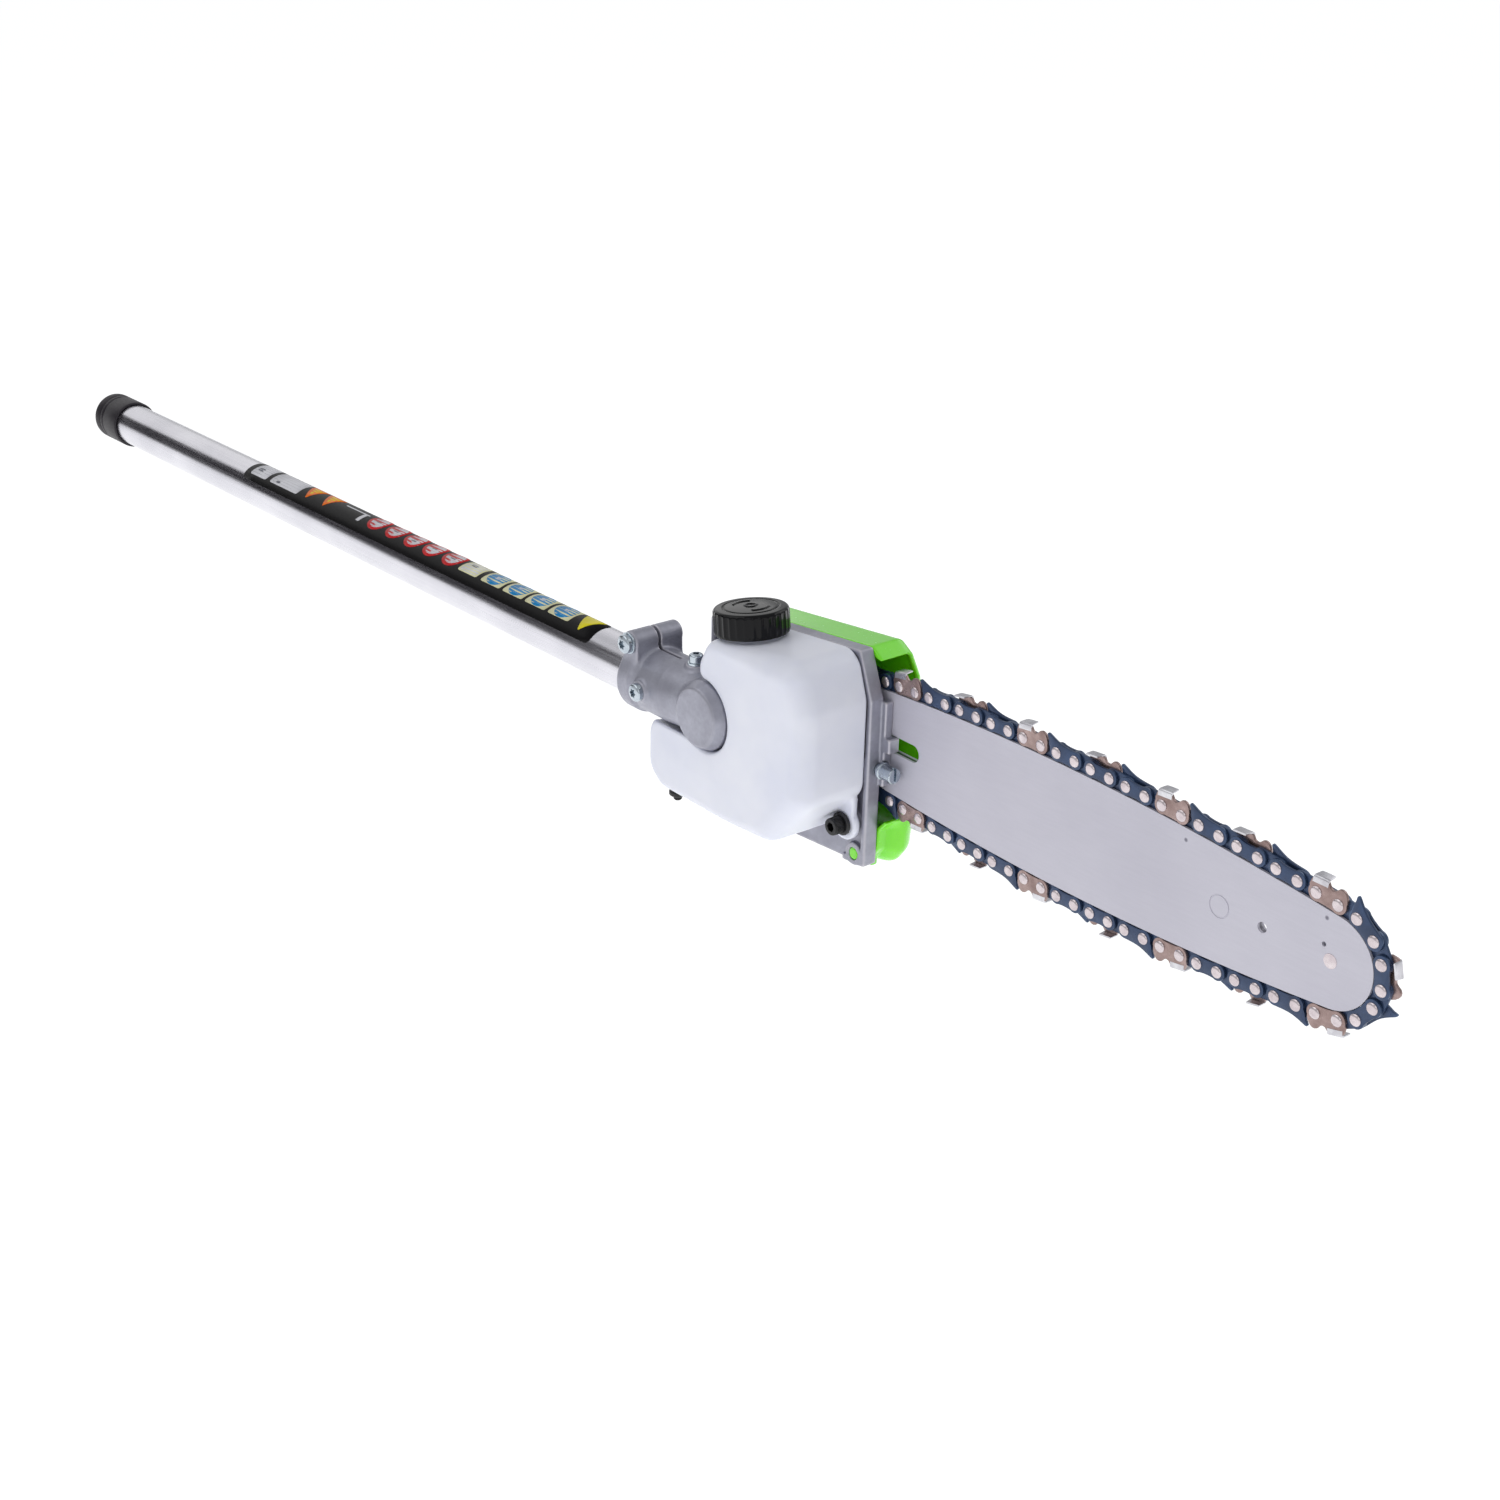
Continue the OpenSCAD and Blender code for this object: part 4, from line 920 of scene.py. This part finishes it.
def cover_field(p):
    x, y, z = p
    near = PLATE_FAR + 0.1
    body = cover_shell(p, 0.0, near)
    body = cut(body, cover_shell(p, 2.2, -20))
    mouth = block(p, (57, 20, -37.5), (100, COVER_FAR - 4.5, 38), 2.0)
    body = cut(body, mouth, 0.4)
    body = join(body, rod_y(p, STUD_X, 0, 9, BAR_Y + 2.3, COVER_FAR - 0.6, 0.4), 0.8)
    # Locating peg, on a lug that stands on the lower wall
    lug_far = near + 3.5
    lug = block(p, (PEG[0] - 4.4, near, -62.5), (PEG[0] + 4.4, lug_far, PEG[1]), 0.3)
    body = join(body, join(rod_y(p, *PEG, 4.4, near, lug_far, 0.3), lug), 0.6)
    body = join(body, rod_y(p, *PEG, PEG_R, PLATE_NEAR + 0.1, near + 1, 0.3))
    return cut(body, rod_y(p, STUD_X, 0, 4.15, 0, 80, 0.1))


def make_cover():
    verts, faces = polygonise(cover_field, (-41, 26, -70.5), (82, 56.5, 44), 0.75)
    return add_piece("chain_cover", verts, faces, ["cover_green"], "cover",
                     ["sprocket_cover"])


# ---------------------------------------------------------------- screws

def lobe_field(head_r, head_h, socket_r, lobes=6):
    """A pan head along +Z, its seat at zero, with a lobed socket."""
    def field(p):
        x, y, z = p
        reach, turn = np.hypot(x, y), np.arctan2(y, x)
        dome = head_h - 0.05 * reach ** 2
        head = drum(reach - head_r, z * head_h / np.maximum(dome, 0.5), 0, head_h, 0.25, 0.9)
        star = socket_r * (1 + 0.17 * np.cos(lobes * turn))
        head = cut(head, np.maximum(reach - star, head_h * 0.35 - z), 0.15)
        pin = np.maximum(reach - 0.9, np.abs(z - head_h * 0.4) - head_h * 0.2)
        return join(head, pin, 0.1)
    return field


def lobe_head(head_r, head_h, socket_r, lobes=6):
    size = head_r + 0.4
    field = lobe_field(head_r, head_h, socket_r, lobes)
    return polygonise(field, (-size, -size, -0.2), (size, size, head_h + 0.4), FINE_STEP)


def turned(verts, towards, seat):
    """Moves a +Z piece so that +Z points towards, with its seat at a point."""
    rot = np.array(Vector((0, 0, 1)).rotation_difference(Vector(towards)).to_matrix())
    return np.asarray(verts) @ rot.T + np.array(seat)


def threaded(low, high, r, pitch=0.8, turns=40):
    """A shank whose profile has a thread's ridges."""
    depth = pitch * 0.45
    profile = [(low, 0.01), (low, r - depth)]
    z = low + 0.3
    while z + pitch < high:
        profile += [(z, r - depth), (z + pitch * 0.4, r), (z + pitch * 0.6, r)]
        z += pitch
    profile += [(high, r - depth), (high, 0.01)]
    return lathe(profile, "z", turns=turns)


def add_screw(name, node, towards, seat, head, thread, washer=None):
    """A lobed head with its threaded shank and, where wanted, a 1 mm washer (bore, rim) under it."""
    meshes = [lobe_head(*head), threaded(*thread)]
    if washer:
        bore, rim = washer
        ring = [(-1, bore), (-1, rim - 0.15), (-0.85, rim), (-0.15, rim), (0, rim - 0.15), (0, bore)]
        meshes.append(lathe(ring, "z"))
    parts = Parts()
    for verts, faces in meshes:
        parts.add(turned(verts, towards, seat), faces)
    parts.make(name, ["zinc_steel"], "root", [node], GEAR, 40)


def make_case_fasteners():
    side, up = (0, -1, 0), (0, 0, 1)
    add_screw("collar_screw", "clamp_screw", side, (LUG_X, -15, LUG_Z), (4.6, 3.6, 2.0),
              (-28.4, 0.2, 2.5), (2.6, 5.25))
    add_screw("tube_screw", "locating_screw", side, (LOCATE_X, -17.4, 0), (4.3, 3.4, 1.9),
              (-5.6, 0.2, 2.45))
    add_screw("grease_screw", "grease_plug", up, (GREASE_X, 0, 17.6), (3.3, 4.4, 1.5, 4),
              (-5.5, 0.2, 2.45), (2.55, 4.05))


def hex_socket_field(p):
    x, y, z = p
    reach, turn = np.hypot(x, y), np.arctan2(y, x)
    knurl = 4.05 + 0.12 * np.cos(36 * turn) * np.clip((5.0 - z) / 0.5, 0, 1)
    head = drum(reach - knurl, z, 0, 5.5, 0.15, 0.5)
    wedge = np.mod(turn, math.pi / 3) - math.pi / 6
    flat = reach * np.cos(wedge) - 2.0
    return cut(head, np.maximum(flat, 2.4 - z), 0.1)


def make_tank_fasteners():
    verts, faces = polygonise(hex_socket_field, (-4.4, -4.4, -0.2), (4.4, 4.4, 5.7), FINE_STEP)
    parts = Parts()
    shank, shank_faces = threaded(-11.7, 0.2, 2.1, 0.7)
    for ear in EARS:
        seat = (ear[0], EAR_NEAR - 2, ear[1])
        parts.add(turned(verts, (0, -1, 0), seat), faces)
        parts.add(turned(shank, (0, -1, 0), seat), shank_faces)
    parts.make("tank_bolts", ["black_steel"], "root", ["tank_screws"], sharp=40)
    parts = Parts()
    rim = EAR_NEAR - 1.0
    profile = [(rim - 1, 2.15), (rim - 1, 4.6)]
    for k in range(7):
        a = math.radians(-90 + 30 * k)
        profile.append((rim + math.sin(a), 4.7 + 0.9 * math.cos(a)))
    profile += [(rim + 1, 3.95), (TANK_FAR + 0.75, 3.95), (TANK_FAR + 0.75, 2.15)]
    for ear in EARS:
        verts, faces = lathe(profile, "y", (ear[0], 0, ear[1]))
        parts.add(verts, faces)
    parts.make("tank_bushes", ["seal_rubber"], "root", ["tank_grommets"], sharp=40)


def make_outlet():
    profile = [(-44.5, 1.4), (-44.5, 3.0), (-44.9, 3.35), (-49.4, 3.35), (-49.7, 3.9), (-50, 4.2),
               (-51.4, 4.2), (-51.8, 3.9), (-51.9, 2.0), (-52.6, 2.0), (-52.8, 2.1), (-53.5, 1.8),
               (-53.7, 2.1), (-54.4, 1.6), (-54.4, 1.4)]
    verts, faces = lathe(profile, "z", (OUTLET[0], OUTLET[1], 0), 48)
    return add_piece("outlet_fitting", verts, faces, ["seal_rubber"], "root",
                     ["tank_outlet"], sharp=35)


def tension_field(p):
    """The tensioner's head along +X: a collar, a round head and a screwdriver slot."""
    x, y, z = p
    body = join(rod_x(p, 0, 0, 4.15, 73.2, 74.8, 0.35), rod_x(p, 0, 0, 3.65, 74, 82.1, 0.6), 0.3)
    return cut(body, block(p, (80.4, -0.6, -6), (84, 0.6, 6), 0.1), 0.1)


def make_tension_screw():
    parts = Parts()
    verts, faces = polygonise(tension_field, (73, -4.5, -4.5), (82.4, 4.5, 4.5), FINE_STEP)
    parts.add(verts + np.array([0, TENSION_Y, TENSION_Z]), faces)
    shank, shank_faces = threaded(40.5, 63.6, 2.5)
    parts.add(turned(shank, (1, 0, 0), (0, TENSION_Y, TENSION_Z)), shank_faces)
    neck = [(63.6, 0.01), (63.6, 3.0), (65.6, 3.0), (65.6, 2.5), (74, 2.5), (74, 0.01)]
    verts, faces = lathe(neck, "x", (0, TENSION_Y, TENSION_Z), 48)
    parts.add(verts, faces)
    parts.make("chain_adjuster", ["zinc_steel"], "tension_screw", ["tension_screw"],
               sharp=40)


def nut_field(p):
    """The cover's flanged hexagon nut, its axis along +Y, seated at zero."""
    x, y, z = p
    reach, turn = np.hypot(x, z), np.arctan2(z, x)
    wedge = np.mod(turn, math.pi / 3) - math.pi / 6
    body = drum(reach * np.cos(wedge) - 6.5, y, 0.5, 8.0, 0.2)
    crown = reach - (7.4 + (8.0 - y) * 1.7)
    body = np.maximum(body, crown)
    skirt = drum(reach - 8.95 + 0.5 * np.clip(y, 0, 1.6), y, 0.05, 1.7, 0.2)
    body = join(body, skirt, 0.6)
    return cut(body, drum(reach - 4.06, y, -2, 12, 0.1), 0.2)


def make_nut_and_stud():
    verts, faces = polygonise(nut_field, (-9.2, -0.1, -9.2), (9.2, 8.2, 9.2), 0.25)
    add_piece("cover_flange_nut", verts + np.array([STUD_X, COVER_FAR, 0]), faces, ["zinc_steel"],
              "cover_nut", ["cover_nut"])
    parts = Parts()
    low, high = PLATE_WEB - 0.5, COVER_FAR + 11
    verts, faces = threaded(PLATE_FAR + 4, high - 0.6, 4.0, 1.25, 64)
    parts.add(turned(verts, (0, 1, 0), (STUD_X, 0, 0)), faces)
    body = [(low, 0.01), (low, 4.0), (PLATE_FAR + 4, 4.0), (PLATE_FAR + 4, 0.01)]
    verts, faces = lathe(body, "y", (STUD_X, 0, 0), 64)
    parts.add(verts, faces)
    tip = [(high - 0.7, 0.01), (high - 0.7, 3.5), (high, 3.0), (high, 0.01)]
    verts, faces = lathe(tip, "y", (STUD_X, 0, 0), 64)
    parts.add(verts, faces)
    hexagon = [(STUD_X + 6.6 * math.cos(math.radians(60 * k)), 6.6 * math.sin(math.radians(60 * k)))
               for k in range(6)]
    verts, faces = prism(hexagon, PLATE_WEB - 2.4, PLATE_WEB, 0.3)
    parts.add(verts, faces)
    parts.make("cover_stud", ["zinc_steel"], "root", ["bar_stud"], sharp=40)


# ---------------------------------------------------------------- chain

def loose_centres(node):
    """Centres of a node's separate solids, as X and Z in the head's frame."""
    mesh = NODES[node].data
    count = len(mesh.vertices)
    co = np.empty(count * 3)
    mesh.vertices.foreach_get("co", co)
    co = co.reshape(-1, 3) / MM
    keys = {}
    same = np.empty(count, int)
    for i, c in enumerate(np.round(co, 3)):
        same[i] = keys.setdefault(tuple(c), len(keys))
    parent = list(range(len(keys)))

    def root(i):
        while parent[i] != i:
            parent[i] = parent[parent[i]]
            i = parent[i]
        return i

    edges = np.empty(len(mesh.edges) * 2, int)
    mesh.edges.foreach_get("vertices", edges)
    for a, b in edges.reshape(-1, 2):
        ra, rb = root(same[a]), root(same[b])
        if ra != rb:
            parent[ra] = rb
    labels = np.array([root(s) for s in same])
    inverse = np.linalg.inv(HEAD)
    local = co @ inverse[:3, :3].T + inverse[:3, 3]
    out = []
    for label in sorted(set(labels.tolist())):
        pts = local[labels == label]
        out.append(((pts.max(0) + pts.min(0)) / 2))
    return np.array(out)


def walk(points):
    """The rivets in order round the loop."""
    left = list(range(len(points)))
    order = [left.pop(int(np.argmax(points[:, 0])))]
    while left:
        gaps = np.hypot(*(points[left] - points[order[-1]]).T)
        order.append(left.pop(int(np.argmin(gaps))))
    return points[order]


def oriented(a, b, nose_x):
    """Rear point and forward direction of the link between two rivets, by its outward side."""
    middle = (a + b) / 2
    spine = np.array([min(max(middle[0], 0), nose_x), 0])
    outward = middle - spine
    step = (b - a) / np.linalg.norm(b - a)
    if step[0] * outward[1] - step[1] * outward[0] < 0:
        return b, -step
    return a, step


def placed(template, rear, step, flip=False):
    """A link's mesh, drawn in (along, across, outward), put on the loop."""
    verts = template[0].copy()
    across = -verts[:, 1] if flip else verts[:, 1]
    x = rear[0] + verts[:, 0] * step[0] - verts[:, 2] * step[1]
    z = rear[1] + verts[:, 0] * step[1] + verts[:, 2] * step[0]
    faces = [tuple(reversed(f)) for f in template[1]] if flip else template[1]
    return np.stack([x, BAR_Y + across, z], -1), faces


def arc(cx, cz, r, start, stop, steps):
    return [(cx + r * math.cos(math.radians(start + (stop - start) * k / steps)),
             cz + r * math.sin(math.radians(start + (stop - start) * k / steps)))
            for k in range(steps + 1)]


STRAP_PITCH = 10.14
STRAP_IN, STRAP_T = 0.67, 1.35
LINK_R = 3.75


def plain_outline(pitch):
    return (arc(pitch, 0, LINK_R, -118, 118, 14) + [(pitch * 0.62, 3.1), (pitch * 0.38, 3.1)]
            + arc(0, 0, LINK_R, 62, 298, 14) + [(pitch * 0.38, -3.15), (pitch * 0.62, -3.15)])


def bumper_outline():
    ramp = [(9.4, 3.75), (6.0, 3.85), (3.6, 4.05), (1.6, 4.4), (-0.4, 5.0), (-2.4, 5.8),
            (-4.0, 6.5), (-5.0, 6.9), (-5.6, 6.9), (-5.85, 6.5), (-5.6, 5.8), (-5.1, 4.8),
            (-4.8, 3.6), (-4.4, 1.9)]
    return (arc(STRAP_PITCH, 0, LINK_R, -118, 88, 12) + ramp + arc(0, 0, LINK_R, 172, 298, 8)
            + [(STRAP_PITCH * 0.5, -3.2)])


def cutter_outline():
    front = arc(STRAP_PITCH, 0, LINK_R, -118, 20, 9)
    gauge = [(13.7, 2.6), (13.2, 4.2), (12.4, 5.5), (11.4, 6.3), (10.2, 6.5), (9.0, 6.1), (8.2, 5.2),
             (7.3, 4.4), (6.4, 4.2), (5.4, 4.5), (4.7, 5.4), (4.1, 6.3)]
    hump = [(-2.4, 5.9), (-3.2, 4.6), (-3.8, 2.2)]
    return front + gauge + hump + arc(0, 0, LINK_R, 160, 298, 9) + [(STRAP_PITCH * 0.5, -3.2)]


def drive_outline(pitch):
    return (arc(pitch, 0, LINK_R, -50, 90, 8) + arc(0, 0, LINK_R, 90, 230, 8)
            + [(-1.2, -5.0), (-0.4, -6.4), (1.6, -7.3), (4.6, -7.5), (5.6, -7.1), (6.4, -5.6),
               (8.2, -4.0)])


def top_plate():
    """The cutter's curled top plate: a bent strip from the side plate over the chain's middle."""
    section = [(-2.08, 4.3)]
    for k in range(7):
        a = math.radians(180 - 15 * k)
        section.append((-1.0 + 1.08 * math.cos(a), 6.25 + 1.05 * math.sin(a)))
    section += [(0.4, 7.3), (1.6, 7.3), (2.85, 7.25)]
    thick = 0.75
    inner = []
    for i, (u, w) in enumerate(section):
        before, after = section[max(i - 1, 0)], section[min(i + 1, len(section) - 1)]
        du, dw = after[0] - before[0], after[1] - before[1]
        size = math.hypot(du, dw)
        inner.append((u + dw / size * thick, w - du / size * thick))
    loop = section + inner[::-1]
    rear, front, sweep, drop = -2.7, 4.3, 1.3, 0.75
    stations = [rear, rear + 0.5, 0.5, front - 0.5, front]
    verts, faces = [], []
    count = len(loop)
    for k, x in enumerate(stations):
        pinch = 0.12 if k in (0, len(stations) - 1) else 0.0
        fall = drop * (front - x) / (front - rear)
        for i, (u, w) in enumerate(loop):
            slide = sweep * (u + 2.02) / 4.9 if x > 0 else 0.0
            lower = pinch if i < len(section) else -pinch
            verts.append((x - slide * (0.6 if x > 0 else 0), u, w - fall - lower))
    for k in range(len(stations) - 1):
        for i in range(count):
            j = (i + 1) % count
            faces.append((k * count + i, k * count + j, (k + 1) * count + j, (k + 1) * count + i))
    half = len(section)
    for k, flip in ((0, False), (len(stations) - 1, True)):
        for i in range(half - 1):
            a, b = k * count + i, k * count + i + 1
            c, d = k * count + count - 2 - i, k * count + count - 1 - i
            faces.append((a, d, c, b) if flip else (a, b, c, d))
    return np.array(verts), faces


def rivet_shape(seat):
    """A rivet with a low domed head on both sides, turned about Y."""
    r, h, shank = 2.5, 1.0, 1.55
    dome = [(h, 0.01), (h * 0.98, r * 0.35), (h * 0.92, r * 0.58), (h * 0.8, r * 0.76),
            (h * 0.6, r * 0.9), (h * 0.3, r), (0, r), (0, shank)]
    profile = [(-seat - a, b) for a, b in dome] + [(seat + a, b) for a, b in reversed(dome)]
    return lathe(profile, "y", turns=20)


def make_chain():
    nose_x = (JOINTS["nose_spin"]["pos_m"][0] / MM - OUTPUT_X) / COS_D
    rivets = walk(loose_centres("chain_rivets")[:, (0, 2)])
    count = len(rivets)
    spans = [np.linalg.norm(rivets[(i + 1) % count] - rivets[i]) for i in range(count)]
    half_gap = (max(spans) + min(spans)) / 2
    drive_pitch = float(np.median([s for s in spans if s < half_gap]))
    out = STRAP_IN + STRAP_T
    drive = prism(drive_outline(drive_pitch), -0.635, 0.635, 0.12)
    parts = Parts()
    for i, span in enumerate(spans):
        if span < half_gap:
            rear, step = oriented(rivets[i], rivets[(i + 1) % count], nose_x)
            parts.add(*placed(drive, rear, step))
    parts.make("drive_links", ["chain_steel"], "bar", ["chain_drive_links"], sharp=38)

    straps = [(i, (i + 1) % count) for i, span in enumerate(spans) if span >= half_gap]
    middles = np.array([(rivets[a] + rivets[b]) / 2 for a, b in straps])

    def strap_piece(name, node, outline, material, names=None):
        parts = Parts()
        shape = prism(outline, -out, -STRAP_IN, 0.22)
        plate = top_plate() if names else None
        for centre in loose_centres(node):
            pair = straps[int(np.argmin(np.hypot(*(middles - centre[[0, 2]]).T)))]
            rear, step = oriented(rivets[pair[0]], rivets[pair[1]], nose_x)
            far = centre[1] > BAR_Y
            parts.add(*placed(shape, rear, step, flip=far), 0)
            if plate:
                parts.add(*placed(plate, rear, step, flip=far), 1)
        parts.make(name, names or [material], "bar", [node], sharp=38)

    strap_piece("tie_straps", "chain_tie_straps", plain_outline(STRAP_PITCH), "chain_steel")
    strap_piece("bumper_straps", "chain_bumper_straps", bumper_outline(), "chain_steel")
    chrome = ["cutter_chrome", "cutter_edge"]
    strap_piece("left_cutters", "chain_left_cutters", cutter_outline(), "cutter_chrome", chrome)
    strap_piece("right_cutters", "chain_right_cutters", cutter_outline(), "cutter_chrome", chrome)

    parts = Parts()
    template = rivet_shape(out)
    for rivet in rivets:
        parts.add(template[0] + np.array([rivet[0], BAR_Y, rivet[1]]), template[1])
    parts.make("rivets", ["rivet_steel"], "bar", ["chain_rivets"], sharp=35)


# ---------------------------------------------------------------- nodes that keep their CAD shape

def finish_cad_nodes():
    slots = {s["node"]: s["material_slot"] for s in frame["record"]["subparts"]}
    for name, obj in NODES.items():
        if obj.hide_render:
            continue
        obj.data.materials.clear()
        obj.data.materials.append(MATERIALS[slots[name]])
        for polygon in obj.data.polygons:
            polygon.material_index = 0
            polygon.use_smooth = True
        weld = obj.modifiers.new("weld", "WELD")
        weld.merge_threshold = 0.002 * MM
        bevel = obj.modifiers.new("edge", "BEVEL")
        bevel.width = 0.12 * MM
        bevel.segments = 2
        bevel.limit_method = "ANGLE"
        bevel.angle_limit = math.radians(40)
        bevel.harden_normals = True
        even = obj.modifiers.new("even", "WEIGHTED_NORMAL")
        even.weight = 90
        even.keep_sharp = True


# ---------------------------------------------------------------- studio

def matt_material(name, colour, roughness, glow):
    """A surface with no shine that gives off some white light."""
    mat, tree, bsdf = new_material(name)
    bsdf.inputs["Base Color"].default_value = (*colour, 1)
    bsdf.inputs["Roughness"].default_value = roughness
    bsdf.inputs["Specular IOR Level"].default_value = 0.0
    bsdf.inputs["Emission Color"].default_value = (1, 1, 1, 1)
    bsdf.inputs["Emission Strength"].default_value = glow
    return mat


def make_stage():
    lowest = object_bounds()[0].z
    bpy.ops.mesh.primitive_grid_add(size=60, x_subdivisions=4, y_subdivisions=4,
                                    location=(0.5, 0, lowest - 0.12))
    floor = bpy.context.object
    floor.name = "floor"
    floor.data.materials.append(matt_material("floor_white", (0.92, 0.92, 0.92), 0.95, 0.55))


def reflection_card(name, location, size, aim, colour, glow=0.0):
    """A card seen only in reflections: dark for the tube's dark band, glowing for its bright top."""
    bpy.ops.mesh.primitive_grid_add(size=1, x_subdivisions=2, y_subdivisions=2, location=location)
    card = bpy.context.object
    card.name = name
    card.scale = (*size, 1)
    direction = Vector(aim) - Vector(location)
    card.rotation_mode = "QUATERNION"
    card.rotation_quaternion = direction.to_track_quat("Z", "Y")
    card.data.materials.append(matt_material(name, colour, 1.0, glow))
    for ray in ("camera", "diffuse", "shadow", "transmission"):
        setattr(card, "visible_" + ray, False)


def soft_light(name, location, aim, size, power):
    data = bpy.data.lights.new(name, "AREA")
    data.shape = "RECTANGLE"
    data.size, data.size_y = size
    data.energy = power
    lamp = bpy.data.objects.new(name, data)
    lamp.location = location
    lamp.rotation_mode = "QUATERNION"
    lamp.rotation_quaternion = (Vector(location) - Vector(aim)).to_track_quat("Z", "Y")
    bpy.context.scene.collection.objects.link(lamp)


def make_studio():
    scene = bpy.context.scene
    scene.view_settings.view_transform = "Standard"
    scene.view_settings.look = "None"
    world = bpy.data.worlds.new("studio")
    scene.world = world
    world.use_nodes = True
    back = world.node_tree.nodes["Background"]
    back.inputs["Color"].default_value = (0.97, 0.98, 1.0, 1)
    back.inputs["Strength"].default_value = 0.5
    centre = (0.62, 0.0, 0.0)
    soft_light("key", (0.1, -0.9, 1.5), centre, (1.6, 1.2), 5.5)
    soft_light("rim", (0.9, 1.3, 1.0), centre, (1.4, 0.8), 3.5)
    soft_light("front", (1.7, -0.9, 0.7), (0.8, 0.0, 0.0), (0.8, 0.8), 1.2)
    reflection_card("dark_card", (-0.27, -0.265, 0.14), (1.1, 0.3), (-0.27, 0.0, 0.0),
                    (0.02, 0.018, 0.022))
    reflection_card("sky_card", (-1.3, 0.4, 0.85), (2.2, 1.1), (0.3, 0.0, 0.0), (0.1, 0.1, 0.1), 0.85)


def make_camera():
    data = bpy.data.cameras.new("camera")
    camera = bpy.data.objects.new("camera", data)
    bpy.context.scene.collection.objects.link(camera)
    forward = Vector((-0.71706, 0.57523, -0.39363)).normalized()
    up = Vector((-0.31151, 0.24072, 0.91925))
    right = forward.cross(up).normalized()
    up = right.cross(forward)
    turn = Matrix((right, up, -forward)).transposed()
    camera.matrix_world = Matrix.Translation((1.40899, -0.58837, 0.38959)) @ turn.to_4x4()
    data.lens = 54.18
    data.sensor_width = 36
    data.clip_start = 0.02
    data.clip_end = 200
    bpy.context.scene.camera = camera


make_camera()
make_tube()
make_end_cap()
make_label()
make_gear_case()
make_plate()
make_tank()
make_cap()
make_cover()
make_case_fasteners()
make_tank_fasteners()
make_outlet()
make_tension_screw()
make_nut_and_stud()
make_chain()
finish_cad_nodes()
make_stage()
make_studio()
